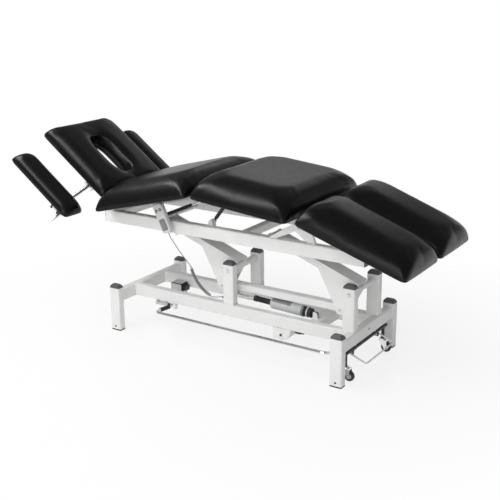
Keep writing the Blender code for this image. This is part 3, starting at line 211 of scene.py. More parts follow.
class Finish:
    """One procedural finish under construction."""

    def __init__(self, name, rough=0.5, metal=0.0, specular=0.5):
        self.mat = bpy.data.materials.new(name)
        self.mat.use_nodes = True
        self.nodes, self.links = self.mat.node_tree.nodes, self.mat.node_tree.links
        self.shader = self.nodes["Principled BSDF"]
        self.shader.inputs["Metallic"].default_value = metal
        self.shader.inputs["Roughness"].default_value = rough
        self.shader.inputs["Specular IOR Level"].default_value = specular
        self.where = self.nodes.new("ShaderNodeTexCoord").outputs["Object"]
        self.height = None

    def noise(self, scale, detail=3.0, stretch=None):
        """Cloudy value over the piece, drawn out along its axes if stretched."""
        node = self.nodes.new("ShaderNodeTexNoise")
        node.inputs["Scale"].default_value = scale
        node.inputs["Detail"].default_value = detail
        source = self.where
        if stretch:
            turn = self.nodes.new("ShaderNodeMapping")
            turn.inputs["Scale"].default_value = stretch
            self.links.new(source, turn.inputs["Vector"])
            source = turn.outputs["Vector"]
        self.links.new(source, node.inputs["Vector"])
        return node.outputs["Fac"]

    def cells(self, scale):
        """Distance from the edges of a cellular grain."""
        node = self.nodes.new("ShaderNodeTexVoronoi")
        node.feature = "DISTANCE_TO_EDGE"
        node.inputs["Scale"].default_value = scale
        self.links.new(self.where, node.inputs["Vector"])
        return node.outputs["Distance"]

    def span(self, value, low, high, start=0.3, end=0.7):
        """A value between start and end brought to low to high."""
        node = self.nodes.new("ShaderNodeMapRange")
        for socket, number in (("From Min", start), ("From Max", end), ("To Min", low), ("To Max", high)):
            node.inputs[socket].default_value = number
        self.links.new(value, node.inputs["Value"])
        return node.outputs["Result"]

    def colour(self, share, dark, light):
        """Base colour between two tones."""
        node = self.nodes.new("ShaderNodeMix")
        node.data_type = "RGBA"
        node.inputs["A"].default_value = (*dark, 1)
        node.inputs["B"].default_value = (*light, 1)
        self.links.new(share, node.inputs["Factor"])
        self.links.new(node.outputs["Result"], self.shader.inputs["Base Color"])

    def roughness(self, value, low, high):
        """Roughness between two values."""
        self.links.new(self.span(value, low, high), self.shader.inputs["Roughness"])

    def relief(self, height, depth, strength=1.0):
        """Bump of a real depth in metres, laid over any relief so far."""
        node = self.nodes.new("ShaderNodeBump")
        node.inputs["Strength"].default_value = strength
        node.inputs["Distance"].default_value = depth
        self.links.new(height, node.inputs["Height"])
        if self.height is not None:
            self.links.new(self.height, node.inputs["Normal"])
        self.height = node.outputs["Normal"]
        self.links.new(self.height, self.shader.inputs["Normal"])


def make_vinyl():
    """Black upholstery vinyl with a fine grain."""
    f = Finish("black_vinyl", specular=0.23)
    f.colour(f.span(f.noise(9.0, 4.0), 0.0, 1.0), (0.0016, 0.0016, 0.0017), (0.0030, 0.0030, 0.0031))
    f.roughness(f.noise(38.0, 5.0), 0.29, 0.34)
    f.relief(f.span(f.cells(620.0), 0.0, 1.0, 0.0, 0.16), 0.00004, 0.04)
    f.relief(f.noise(260.0, 4.0), 0.00005, 0.04)
    return f.mat


def make_powder_coat():
    """White powder coat with a slight orange peel."""
    f = Finish("white_powder_coat", specular=0.5)
    f.colour(f.span(f.noise(7.0, 3.0), 0.0, 1.0), (0.845, 0.845, 0.838), (0.880, 0.880, 0.873))
    f.roughness(f.noise(60.0, 4.0), 0.34, 0.46)
    f.relief(f.noise(900.0, 3.0), 0.00008, 0.25)
    return f.mat


def make_moulded(name, dark, light, rough, grain=2200.0, depth=0.00006):
    """Moulded plastic, rubber or thread with a matt grain."""
    f = Finish(name, specular=0.45)
    f.colour(f.span(f.noise(25.0, 3.0), 0.0, 1.0), dark, light)
    f.roughness(f.noise(140.0, 4.0), rough - 0.05, rough + 0.06)
    f.relief(f.noise(grain, 2.0), depth, 0.5)
    return f.mat


def make_metal(name, dark, light, rough_low, rough_high):
    """Plated metal, polished unevenly."""
    stretch = (40.0, 40.0, 40.0)
    f = Finish(name, metal=1.0)
    f.colour(f.span(f.noise(30.0, 3.0), 0.0, 1.0), dark, light)
    f.roughness(f.noise(6.0, 5.0, stretch), rough_low, rough_high)
    f.relief(f.noise(9.0, 4.0, stretch), 0.00003, 0.25)
    return f.mat


VINYL = make_vinyl()
POWDER = make_powder_coat()
CAP_PLASTIC = make_moulded("dark_grey_plastic", (0.085, 0.085, 0.088), (0.115, 0.115, 0.118), 0.46)
LIGHT_PLASTIC = make_moulded("light_grey_plastic", (0.56, 0.565, 0.565), (0.64, 0.645, 0.645), 0.40)
CASE_PLASTIC = make_moulded("handset_plastic", (0.66, 0.665, 0.66), (0.72, 0.725, 0.72), 0.42)
MID_GREY = make_moulded("mid_grey_plastic", (0.20, 0.20, 0.205), (0.26, 0.26, 0.265), 0.44)
THREAD = make_moulded("black_thread", (0.010, 0.010, 0.011), (0.020, 0.020, 0.021), 0.60, 900.0, 0.00010)
BLACK_PLASTIC = make_moulded("black_plastic", (0.016, 0.016, 0.017), (0.028, 0.028, 0.029), 0.42)
RUBBER = make_moulded("black_rubber", (0.014, 0.014, 0.014), (0.026, 0.026, 0.025), 0.72, 700.0, 0.00015)
TYRE = make_moulded("dark_tyre", (0.030, 0.030, 0.031), (0.048, 0.048, 0.049), 0.62, 900.0, 0.00012)
STRUT_BLACK = make_moulded("black_paint", (0.012, 0.012, 0.013), (0.020, 0.020, 0.021), 0.30, 1200.0, 0.00003)
CHROME = make_metal("chrome", (0.78, 0.79, 0.80), (0.86, 0.87, 0.88), 0.17, 0.27)
STEEL = make_metal("zinc_steel", (0.52, 0.53, 0.54), (0.66, 0.67, 0.68), 0.24, 0.38)
CORD_SKIN = make_moulded("grey_cord_skin", (0.25, 0.25, 0.255), (0.33, 0.33, 0.335), 0.50, 900.0, 0.00008)


def handset_frame():
    """The handset's own frame in the drawing: local Y up its case, local Z out of its face."""
    tilt = Matrix.Rotation(math.radians(-HAND_TILT), 4, "Y")
    return Matrix.Translation((HAND_X, HAND_Y, HAND_Z)) @ tilt @ Matrix.Rotation(math.pi / 2, 4, "X")


def cord_route():
    """Lead from the handset to the first curl, then the curls and the tail into the gland."""
    hold = handset_frame()
    start = hold @ Vector((0, -HAND_L / 2 - BOSS_L - GAP, 0))
    down = (hold.to_3x3() @ -NORTH).normalized()
    first, mid, last = (Vector(p) for p in CURL_ROUTE)
    end = Vector((UPRIGHT_1_X - TUBE_W / 2 - 2 * GAP - GLAND_L, -BEAM_Y, GLAND_Z))
    bend = mid * 2 - (first + last) / 2

    def axis(s):
        return first * (1 - s) ** 2 + bend * (2 * s * (1 - s)) + last * s ** 2
    head = (axis(0.02) - axis(0)).normalized()
    tail = (axis(1) - axis(0.98)).normalized()
    square = 3 * CORD_R
    lead = [start + down * square, start + down * LEAD_OUT, start.lerp(first, 0.5) + LEAD_SAG,
            first - head * LEAD_IN, first]
    lead = [start] + smooth(lead, CORD_STEP)
    curls = [first.copy()]
    total = CURLS * CURL_STEPS
    for i in range(1, total):
        s = i / total
        along = (axis(min(s + 0.01, 1)) - axis(max(s - 0.01, 0))).normalized()
        u = along.cross(NORTH).normalized()
        v = along.cross(u)
        ease = min(1.0, i / CURL_STEPS, (total - i) / CURL_STEPS)
        t = 2 * math.pi * i / CURL_STEPS
        curls.append(axis(s) + (u * math.cos(t) + v * math.sin(t)) * (CURL_R * ease))
    run = [last, last + tail * TAIL_OUT, last.lerp(end, 0.62) + TAIL_SAG, end - EAST * TAIL_IN,
           end - EAST * square]
    curls += smooth(run, CORD_STEP) + [end]
    shift = Vector((CENTRE_X, 0, 0))
    return [p - shift for p in lead], [p - shift for p in curls]


def hang_cord():
    """Two lengths of cord that meet in a sleeve, which rides on the first arm."""
    lead_path, curl_path = cord_route()
    lead = piece("handset_lead", tube_mesh(lead_path, CORD_R), CORD_SKIN)
    curls = piece("handset_curls", tube_mesh(curl_path, CORD_R, 10), CORD_SKIN)
    first = lead_path[-1]
    along = (lead_path[-1] - lead_path[-4]).normalized()
    sleeve_path = [first + along * distance for distance, _ in SLEEVE]
    sleeve = piece("cord_sleeve", tube_mesh(sleeve_path, [radius for _, radius in SLEEVE], 20), LIGHT_PLASTIC)
    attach(sleeve, "arm_1")
    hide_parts("handset_cord")
    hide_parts("handset_cord")
    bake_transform(lead)
    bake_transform(curls)


stand_camera()
hang_cord()

# Small parts that repeat are set out by Geometry Nodes, one plain mesh for each body

SPIN_SEED, WELD_SEED, BEAD_SIDES = 11, 5, 6
WELD_R, WELD_STEP, WELD_WANDER = 0.0021, 0.004, 0.00035

# Sections of the small parts in millimetres, as (radius, height); the stitch as (place along it, radius)
STITCH = ((-2.2, 0.2), (-1.6, 0.5), (1.6, 0.5), (2.2, 0.2))
SCREW_HEAD, SCREW_SOCKET = ((5.0, -0.4), (5.0, 0.6), (3.8, 2.2)), ((2.4, 2.6), (2.4, 0.9))
HOLE_PLUG = ((5.2, -0.4), (5.2, 0.5), (4.0, 1.1), (1.5, 1.3))
RIB = ((12.0, -1.2), (13.6, -0.9), (13.6, 0.9), (12.0, 1.2))
STAPLE, STAPLE_EDGE = (0.011, 0.0012, 0.0009), 0.0002


def empty_tree(name, inputs):
    """A tree with named inputs besides its geometry."""
    tree = bpy.data.node_groups.new(name, "GeometryNodeTree")
    tree.interface.new_socket("Geometry", in_out="INPUT", socket_type="NodeSocketGeometry")
    for label, kind in inputs.items():
        tree.interface.new_socket(label, in_out="INPUT", socket_type=f"NodeSocket{kind}")
    tree.interface.new_socket("Geometry", in_out="OUTPUT", socket_type="NodeSocketGeometry")
    return tree, tree.nodes.new("NodeGroupInput"), tree.nodes.new("NodeGroupOutput")


def by_identifier(sockets, identifier):
    """The socket of that identifier, as several may share a name."""
    return next(s for s in sockets if s.identifier == identifier)


def either_way(tree, given, label, kind, mark=""):
    """Random value between minus and plus a named input; mark ends the names of its kind's sockets."""
    chance, back = tree.nodes.new("FunctionNodeRandomValue"), tree.nodes.new("ShaderNodeMath")
    chance.data_type, back.operation = kind, "MULTIPLY"
    back.inputs[1].default_value = -1.0
    tree.links.new(given.outputs[label], back.inputs[0])
    tree.links.new(back.outputs["Value"], by_identifier(chance.inputs, "Min" + mark))
    tree.links.new(given.outputs[label], by_identifier(chance.inputs, "Max" + mark))
    tree.links.new(given.outputs["Seed"], by_identifier(chance.inputs, "Seed"))
    return by_identifier(chance.outputs, "Value" + mark)


def wire(tree, *runs):
    """Links, each from a node's output to another node's input."""
    for source, output, target, entry in runs:
        tree.links.new(source.outputs[output], target.inputs[entry])


def end_tree(tree, given, made, source, output):
    """Every tree ends in a realised mesh of one finish."""
    real, coat = tree.nodes.new("GeometryNodeRealizeInstances"), tree.nodes.new("GeometryNodeSetMaterial")
    wire(tree, (source, output, real, "Geometry"), (real, "Geometry", coat, "Geometry"),
         (given, "Finish", coat, "Material"), (coat, "Geometry", made, "Geometry"))


def make_setting_out():
    """Tree that sets one shape on every point, its top along aim and its length along the point's run."""
    tree, given, made = empty_tree("setting_out", {"Shape": "Object", "Spin": "Float", "Seed": "Int",
                                                   "Finish": "Material"})
    new = tree.nodes.new
    shape, put = new("GeometryNodeObjectInfo"), new("GeometryNodeInstanceOnPoints")
    upright, lengthwise = (new("FunctionNodeAlignRotationToVector") for _ in range(2))
    upright.axis, lengthwise.axis, lengthwise.pivot_axis = "Z", "X", "Z"
    for node, label in ((upright, "aim"), (lengthwise, "run")):
        field = new("GeometryNodeInputNamedAttribute")
        field.data_type = "FLOAT_VECTOR"
        field.inputs["Name"].default_value = label
        wire(tree, (field, "Attribute", node, "Vector"))
    about, euler = new("ShaderNodeCombineXYZ"), new("FunctionNodeEulerToRotation")
    spun = new("FunctionNodeRotateRotation")
    spun.rotation_space = "LOCAL"
    tree.links.new(either_way(tree, given, "Spin", "FLOAT", "_001"), about.inputs["Z"])
    wire(tree, (upright, "Rotation", lengthwise, "Rotation"), (about, "Vector", euler, "Euler"),
         (lengthwise, "Rotation", spun, "Rotation"), (euler, "Rotation", spun, "Rotate By"),
         (given, "Shape", shape, "Object"), (given, "Geometry", put, "Points"),
         (shape, "Geometry", put, "Instance"), (spun, "Rotation", put, "Rotation"))
    end_tree(tree, given, made, put, "Instances")
    return tree


def make_weld_bead():
    """Tree that lays a slightly uneven bead along the edges it is given."""
    tree, given, made = empty_tree("weld_bead", {"Radius": "Float", "Step": "Float", "Wander": "Float",
                                                 "Seed": "Int", "Finish": "Material"})
    new = tree.nodes.new
    line, even = new("GeometryNodeMeshToCurve"), new("GeometryNodeResampleCurve")
    even.mode = "LENGTH"
    shift, sweep = new("GeometryNodeSetPosition"), new("GeometryNodeCurveToMesh")
    ring = new("GeometryNodeCurvePrimitiveCircle")
    ring.inputs["Resolution"].default_value = BEAD_SIDES
    tree.links.new(either_way(tree, given, "Wander", "FLOAT_VECTOR"), shift.inputs["Offset"])
    wire(tree, (given, "Geometry", line, "Mesh"), (line, "Curve", even, "Curve"),
         (given, "Step", even, "Length"), (even, "Curve", shift, "Geometry"), (given, "Radius", ring, "Radius"),
         (shift, "Geometry", sweep, "Curve"), (ring, "Curve", sweep, "Profile Curve"))
    end_tree(tree, given, made, sweep, "Mesh")
    return tree


SETTING_OUT, WELD_BEAD = make_setting_out(), make_weld_bead()


def evaluated_mesh(obj):
    """Plain mesh of an object with its modifiers worked out."""
    graph = bpy.context.evaluated_depsgraph_get()
    graph.update()
    return bpy.data.meshes.new_from_object(obj.evaluated_get(graph))


def grown(name, mesh, tree, values):
    """Plain mesh of a tree's result, its inputs set before it is first worked out."""
    obj = bpy.data.objects.new(name, mesh)
    mod = obj.modifiers.new(name, "NODES")
    mod.node_group = tree
    for item in tree.interface.items_tree:
        if item.in_out == "INPUT" and item.name in values:
            mod[item.identifier] = values[item.name]
    bpy.context.scene.collection.objects.link(obj)
    made = evaluated_mesh(obj)
    obj.modifiers.remove(mod)
    bpy.data.objects.remove(obj, do_unlink=True)
    return made


def fitted(name, mesh, finish, body):
    """A small part that rides on a body."""
    part = piece(name, mesh, finish)
    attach(part, body)
    return part


def set_out(name, body, shape, spots, finish, spin=0.0):
    """One mesh of a shape at every spot, each spot a point, an outward direction and a run."""
    points = bpy.data.meshes.new(name)
    points.from_pydata([tuple(p) for p, _, _ in spots], [], [])
    for label, which in (("aim", 1), ("run", 2)):
        field = points.attributes.new(label, "FLOAT_VECTOR", "POINT")
        field.data.foreach_set("vector", [c for spot in spots for c in spot[which]])
    pattern = placed("pattern", shape)
    made = grown(name, points, SETTING_OUT, {"Shape": pattern, "Spin": spin, "Seed": SPIN_SEED,
                                             "Finish": finish})
    bpy.data.objects.remove(pattern, do_unlink=True)
    return fitted(name, made, finish, body)


def stitch_shape():
    """Short run of thread."""
    return mesh_from(*lofted([[Vector((x, r * c, r * s)) * MM for c, s in around(5)] for x, r in STITCH]))


def staple_shape():
    """Crown of a staple."""
    return joined([soft_block(STAPLE, Matrix.Identity(4), STAPLE_EDGE)])


def screw_shape():
    """Button head with a hexagon socket."""
    rings = [[Vector((r * c, r * s, z)) * MM for c, s in around(12)] for r, z in SCREW_HEAD]
    third, sixth = math.pi / 3, math.pi / 6
    for r, z in SCREW_SOCKET:
        flats = [r * math.cos(sixth) / math.cos(sixth * k % third - sixth) for k in range(12)]
        rings.append([Vector((flat * c, flat * s, z)) * MM for flat, (c, s) in zip(flats, around(12))])
    return mesh_from(*lofted(rings))


def plug_shape():
    """Domed plug of a drilled hole."""
    return joined([turned(HOLE_PLUG, Matrix.Scale(MM, 4), 14)])


def rib_shape():
    """Ring round the actuator's tube."""
    return mesh_from(*lofted([[Vector((r * c, r * s, z)) * MM for r, z in RIB] for c, s in around(16)], True))


def soft_block(size, place, edge=0.0012):
    """Block with eased edges, centred on its place."""
    x, y, z = (s / 2 for s in size)
    rings = []
    for height, inset in ((-z, edge), (-z + edge, 0), (z - edge, 0), (z, edge)):
        a, b, c = x - inset, y - inset, edge
        flat = ((a - c, b), (a, b - c), (a, c - b), (a - c, -b),
                (c - a, -b), (-a, c - b), (-a, b - c), (c - a, b))
        rings.append([place @ Vector((u, v, height)) for u, v in flat])
    return lofted(rings)


def rod(a, b, r, sides=20):
    """Round rod with eased ends."""
    step = 0.12 * r
    ease = (b - a).normalized() * min(step, 0.25 * (b - a).length)
    return lofted(tube_rings([a, a + ease, b - ease, b], [r - step, r, r, r - step], sides))


def block_at(size, x, y, z, edge=0.0012):
    """Block centred on a point of the drawing."""
    return soft_block(size, Matrix.Translation(drawn(x, y, z)), edge)


# Upholstery: each pad swells over its board

PAD_CORNER, PAD_ROLL, PAD_SPREAD, PAD_OVERHANG, ARM_DROP = 0.020, 0.008, 0.24, 0.022, 0.091
LOWER_EDGE = [(0.016, 0.0), (0.006, 0.0005), (0.0015, 0.0035), (0.0, PAD_ROLL)]
SHOULDER_FADE, SHOULDER_FULL, SHOULDER_STEPS, SHOULDER_CROWD = 3.0, 1.75, 18, 1.6
SHELL_UNDER, SHELL_IN, VOXEL, RAYS, CORNER_STEPS, SIDE_STEPS = 0.004, 0.0012, 0.0070, 176, 24, 40
TOP_RINGS, RIM_RINGS = (0.86, 0.72, 0.58, 0.44, 0.3, 0.16, 0.05), (0.33, 0.66)
OVAL_POWER, RIM_REACH = 3.2, 0.026
# Rim of the face opening as (distance outside it, share of the pad's height, rise)
FACE_RIM = ((RIM_REACH, 1, 0), (0.017, 1, -0.0012), (0.010, 1, -0.0036), (0.005, 1, -0.0075),
            (0.0015, 1, -0.014), (0.0, 1, -0.023), (-0.004, 0.5, 0), (-0.009, 0.28, 0), (-0.013, 0, 0.008),
            (-0.010, 0, 0))
# Rounds of smoothing, the cloth, and how far up its lower edge a cover keeps its shape
SMOOTH_BEFORE, SMOOTH_AFTER, EASE_ROUNDS, RIM_ROUNDS, RELAX_STEP = 6, 3, 6, 4, 0.0055
CLOTH_FRAMES, CLOTH_QUALITY, CLOTH_PRESSURE, HELD_BELOW = 14, 3, 4.0, 0.004
EDGE_KEPT, EDGE_FADE = 0.014, 0.030
SEAM_HEIGHT, SEAM_DEPTH, SEAM_WIDTH, SEAM_CLEAR = 0.0150, 0.0013, 0.0024, 1.15
STITCH_SPACING, STITCH_RISE, STITCH_LIFT = 0.009, 0.0032, 0.0002
STAPLE_SPACING, STAPLE_IN, STAPLE_SPIN = 0.034, 0.024, 0.12


def rounded_corners(x0, x1, y0, y1, r, steps):
    """Points round the four corners of a rectangle in turn."""
    points = []
    for ax, ay, start in ((x1 - r, y1 - r, 0), (x0 + r, y1 - r, 90), (x0 + r, y0 + r, 180),
                          (x1 - r, y0 + r, 270)):
        turns = [math.radians(start + 90 * k / steps) for k in range(steps + 1)]
        points += [(ax + r * math.cos(t), ay + r * math.sin(t)) for t in turns]
    return points


def met_by_rays(x0, x1, y0, y1, r, angles):
    """Rounded rectangle where rays from its middle meet it."""
    cx, cy = (x0 + x1) / 2, (y0 + y1) / 2
    points = [(x - cx, y - cy) for x, y in rounded_corners(x0, x1, y0, y1, r, CORNER_STEPS)]
    full = []
    for (ax, ay), (bx, by) in zip(points, points[1:] + points[:1]):
        full += [(ax + (bx - ax) * k / SIDE_STEPS, ay + (by - ay) * k / SIDE_STEPS)
                 for k in range(SIDE_STEPS)]
    full = np.array(full)
    turn = np.mod(np.arctan2(full[:, 1], full[:, 0]), 2 * math.pi)
    order = np.argsort(turn)
    reach = np.interp(angles, turn[order], np.hypot(full[:, 0], full[:, 1])[order], period=2 * math.pi)
    return np.stack([cx + reach * np.cos(angles), cy + reach * np.sin(angles)], 1)


def pad_profile(thick, shoulder):
    """(inset, height) pairs from the underside round the lower edge and up the shoulder into the top."""
    pairs = list(LOWER_EDGE)
    for k in range(1, SHOULDER_STEPS + 1):
        s = (k / SHOULDER_STEPS) ** SHOULDER_CROWD
        rise = (1 - (1 - s) ** SHOULDER_FADE) ** (1 / SHOULDER_FULL)
        pairs.append((shoulder * s, PAD_ROLL + (thick - PAD_ROLL) * rise))
    return pairs


def pad_shell(extent, thick, crown, shoulder, ends, taper=0.0, hole=None):
    """Closed shell of a pad in its own frame, a little under its full size; an oval opening if it has one."""
    x0, x1, y0, y1 = extent
    angles = 2 * math.pi * (np.arange(RAYS) + 0.5) / RAYS
    half = min(x1 - x0, y1 - y0) / 2
    thick -= SHELL_UNDER
    rings = []

    def dome(inset):
        return crown * (1 - (1 - min(inset / half, 1)) ** 2)
    for inset, height in pad_profile(thick, shoulder):
        dx, dy = inset * ends + SHELL_IN, inset + SHELL_IN
        r = min(PAD_CORNER + PAD_SPREAD * math.sqrt(inset), 0.9 * (half - dy))
        flat = met_by_rays(x0 + dx, x1 - dx, y0 + dy, y1 - dy, r, angles)
        rings.append([(x, y, height + dome(inset)) for x, y in flat])
    last = rings[-1]
    if hole:
        hx, long_r, wide_r = hole
        edge = [oval_point(hx, long_r + RIM_REACH, wide_r + RIM_REACH, t) for t in angles]
        top = thick + crown
        for share in RIM_RINGS:
            rings.append([(x + (u - x) * share, y + (v - y) * share, z + (top - z) * share)
                          for (x, y, z), (u, v) in zip(last, edge)])
        for grow, share, rise in FACE_RIM:
            rings.append([(*oval_point(hx, long_r + grow, wide_r + grow, t), top * share + rise)
                          for t in angles])
    else:
        cx, cy = (x0 + x1) / 2, (y0 + y1) / 2
        for keep in TOP_RINGS:
            rise = thick + dome(shoulder + (half - shoulder) * (1 - keep))
            rings.append([(cx + (x - cx) * keep, cy + (y - cy) * keep, rise) for x, y, _ in last])
    rings = [[(x, y, z * (1 + taper * (0.5 - (x - x0) / (x1 - x0)))) for x, y, z in ring] for ring in rings]
    return lofted(rings, closed=hole is not None)


def oval_point(hx, long_r, wide_r, t):
    """Point of a full-ended oval where a ray at angle t meets it."""
    c, s = math.cos(t), math.sin(t)
    reach = (abs(c / long_r) ** OVAL_POWER + abs(s / wide_r) ** OVAL_POWER) ** (-1 / OVAL_POWER)
    return hx + reach * c, reach * s


def remeshed(mesh):
    """Even quads drawn back onto the smooth shell they came from."""
    shell, obj = placed("shell", mesh), placed("even", mesh.copy())
    mod = obj.modifiers.new("even", "REMESH")
    mod.mode, mod.voxel_size, mod.adaptivity = "VOXEL", VOXEL, 0.0

    def ease(rounds):
        smoother = obj.modifiers.new("ease", "SMOOTH")
        smoother.factor, smoother.iterations = 0.5, rounds
    ease(SMOOTH_BEFORE)
    obj.modifiers.new("draw", "SHRINKWRAP").target = shell
    ease(SMOOTH_AFTER)
    made = evaluated_mesh(obj)
    for part in (shell, obj):
        bpy.data.objects.remove(part, do_unlink=True)
    return made


def coordinates(mesh):
    """A mesh's points as an array."""
    flat = np.zeros(len(mesh.vertices) * 3, np.float32)
    mesh.vertices.foreach_get("co", flat)
    return flat.reshape(-1, 3).astype(float)


def set_coordinates(mesh, points):
    """A mesh's points moved to those of an array."""
    mesh.vertices.foreach_set("co", points.astype(np.float32).ravel())
    mesh.update()


def eased(mesh, move, rounds):
    """A movement evened out between neighbouring points, so that folds stay soft."""
    ends = np.zeros(len(mesh.edges) * 2, np.int32)
    mesh.edges.foreach_get("vertices", ends)
    a, b = ends.reshape(-1, 2).T
    share = np.bincount(ends, minlength=len(move)).astype(float)[:, None]
    for _ in range(rounds):
        around_it = np.stack([np.bincount(a, move[b, k], len(move)) + np.bincount(b, move[a, k], len(move))
                              for k in range(3)], 1)
        move = 0.5 * move + 0.5 * around_it / np.maximum(share, 1)
    return move


def relaxed(mesh, rounds):
    """The cover drawn smooth over its foam, its lower edge kept."""
    points = coordinates(mesh)
    free = np.clip((points[:, 2:] - EDGE_KEPT) / EDGE_FADE, 0, 1)
    for _ in range(rounds):
        points = points + free * (eased(mesh, points, 1) - points)
    set_coordinates(mesh, points)
    return mesh


def swelled(mesh, cap):
    """The cover filled by pressure over foam, its underside held flat; no point moves past the cap."""
    before = coordinates(mesh)
    obj = placed("cover", mesh)
    held = obj.vertex_groups.new(name="underside")
    held.add([int(i) for i in np.flatnonzero(before[:, 2] < HELD_BELOW)], 1.0, "REPLACE")
    cloth = obj.modifiers.new("cover", "CLOTH")
    cloth.settings.quality = CLOTH_QUALITY
    cloth.settings.use_pressure = True
    cloth.settings.uniform_pressure_force = CLOTH_PRESSURE
    cloth.settings.vertex_group_mass = held.name
    cloth.settings.effector_weights.gravity = 0.0
    cloth.point_cache.frame_start, cloth.point_cache.frame_end = 1, CLOTH_FRAMES
    for number in range(1, CLOTH_FRAMES + 1):
        bpy.context.scene.frame_set(number)
    after = coordinates(evaluated_mesh(obj))
    bpy.context.scene.frame_set(1)
    bpy.data.objects.remove(obj, do_unlink=True)
    move = after - before
    far = np.linalg.norm(move, axis=1, keepdims=True)
    move *= np.where(far > 1e-9, cap * np.tanh(far / cap) / np.maximum(far, 1e-9), 0.0)
    set_coordinates(mesh, before + eased(mesh, move, EASE_ROUNDS))
    return mesh


def subdivided(mesh):
    """The cover once finer."""
    obj = placed("finer", mesh)
    mod = obj.modifiers.new("finer", "SUBSURF")
    mod.levels = mod.render_levels = 1
    made = evaluated_mesh(obj)
    bpy.data.objects.remove(obj, do_unlink=True)
    return made


def pressed_seam(mesh, hole=None):
    """A sewn line pressed in above the lower edge, but not inside an opening or on level faces."""
    points = coordinates(mesh)
    normals = np.zeros(len(points) * 3, np.float32)
    mesh.vertices.foreach_get("normal", normals)
    normals = normals.reshape(-1, 3).astype(float)
    depth = SEAM_DEPTH * np.exp(-((points[:, 2] - SEAM_HEIGHT) / SEAM_WIDTH) ** 2)
    depth *= np.clip(1.4 - 1.2 * np.abs(normals[:, 2]), 0, 1)
    if hole:
        hx, long_r, wide_r = hole
        depth[np.hypot((points[:, 0] - hx) / long_r, points[:, 1] / wide_r) < SEAM_CLEAR] = 0.0
    set_coordinates(mesh, points - normals * depth[:, None])


def outline_path(extent, inset, spacing):
    """Points every spacing round a pad's outline, each with its direction along the outline."""
    x0, x1, y0, y1 = extent[0] + inset, extent[1] - inset, extent[2] + inset, extent[3] - inset
    points = rounded_corners(x0, x1, y0, y1, PAD_CORNER, 10)
    points = np.array(points + points[:1])
    run = np.concatenate([[0], np.cumsum(np.hypot(*np.diff(points, axis=0).T))])
    count = round(run[-1] / spacing)
    at = (np.arange(count) + 0.5) * run[-1] / count

    def along(s):
        s = np.mod(s, run[-1])
        return np.stack([np.interp(s, run, points[:, 0]), np.interp(s, run, points[:, 1])], 1)
    return list(zip(along(at), along(at + 0.002) - along(at - 0.002)))


def sewn_and_stapled(name, body, mesh, place, extent):
    """Stitches above the seam and staples under the board's edge, set on the finished cover."""
    cover = BVHTree.FromPolygons([v.co for v in mesh.vertices], [p.vertices for p in mesh.polygons])
    turn = place.to_3x3()
    outside, inward_reach, below, upward_reach = 0.030, 0.080, 0.020, 0.040
    stitches, staples = [], []
    for (x, y), (dx, dy) in outline_path(extent, -outside, STITCH_SPACING):
        step = Vector((dx, dy, 0)).normalized()
        inward = Vector((-step.y, step.x, 0))
        spot, normal, _, _ = cover.ray_cast(Vector((x, y, SEAM_HEIGHT + STITCH_RISE)), inward, inward_reach)
        if spot is not None:
            stitches.append((place @ (spot + normal * STITCH_LIFT), turn @ normal, turn @ step))
    for (x, y), (dx, dy) in outline_path(extent, STAPLE_IN, STAPLE_SPACING):
        spot, normal, _, _ = cover.ray_cast(Vector((x, y, -below)), UP, upward_reach)
        if spot is not None:
            staples.append((place @ spot, turn @ normal, turn @ Vector((dx, dy, 0))))
    set_out(f"{name}_stitches", body, stitch_shape(), stitches, THREAD)
    set_out(f"{name}_staples", body, staple_shape(), staples, STEEL, STAPLE_SPIN)


def upholster(part, place, extent, thick, crown, shoulder, ends, taper=0.0, cap=0.006, hole=None, body=None):
    """A crowned pad in place of its plain solid; ends is the share of its shoulder at the two ends."""
    name, body = f"{part}_pad", body or part
    mesh = mesh_from(*pad_shell(extent, thick, crown, shoulder, ends, taper, hole))
    rounds = RIM_ROUNDS if hole else round(shoulder / RELAX_STEP)
    mesh = subdivided(swelled(relaxed(remeshed(mesh), rounds), cap))
    pressed_seam(mesh, hole)
    sewn_and_stapled(name, body, mesh, place, extent)
    mesh.transform(place)
    pad = piece(name, mesh, VINYL, 180)
    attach(pad, body)
    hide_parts(f"{part}_cushion")


def upholster_all():
    """Every pad, sized along its own section."""
    drop = Matrix.Translation((0, 0, -PAD_DROP))
    mid, back = section(APEX, MID_TILT) @ drop, section(APEX, BACK_TILT) @ drop
    leg, head = section(LEG_HINGE, LEG_TILT) @ drop, section(HEAD_HINGE, HEAD_TILT) @ drop
    rest = section(HEAD_HINGE, HEAD_TILT) @ Matrix.Translation((0, 0, -ARM_DROP))
    wide, inner = PAD_HALF_W + PAD_OVERHANG, LEG_GAP / 2 + 0.002
    broad = {"shoulder": 0.145, "ends": 0.42}
    upholster("middle", mid, (0.0075, 0.523, -wide, wide), thick=0.112, crown=0.012, **broad)
    upholster("back", back, (-0.586, -0.0075, -wide, wide), thick=0.106, crown=0.014, **broad)
    legs = {"thick": 0.106, "crown": 0.008, "shoulder": 0.118, "ends": 0.62, "taper": 0.20}
    upholster("near_leg", leg, (0.0105, 0.560, -wide, -inner), **legs)
    upholster("far_leg", leg, (0.0105, 0.560, inner, wide), **legs)
    upholster("head", head, (-0.514, -0.022, -0.244, 0.244), thick=0.072, crown=0.008, shoulder=0.066,
              ends=0.75, hole=(FACE_X, FACE_LONG, FACE_WIDE))
    arms = {"thick": 0.054, "crown": 0.005, "shoulder": 0.052, "ends": 0.9, "cap": 0.004}
    upholster("near_arm", rest, (-0.470, -0.036, -0.457, -0.321), body="near_rest", **arms)
    upholster("far_arm", rest, (-0.470, -0.036, 0.321, 0.457), body="far_rest", **arms)


upholster_all()

# Small fittings, placed as in the drawing

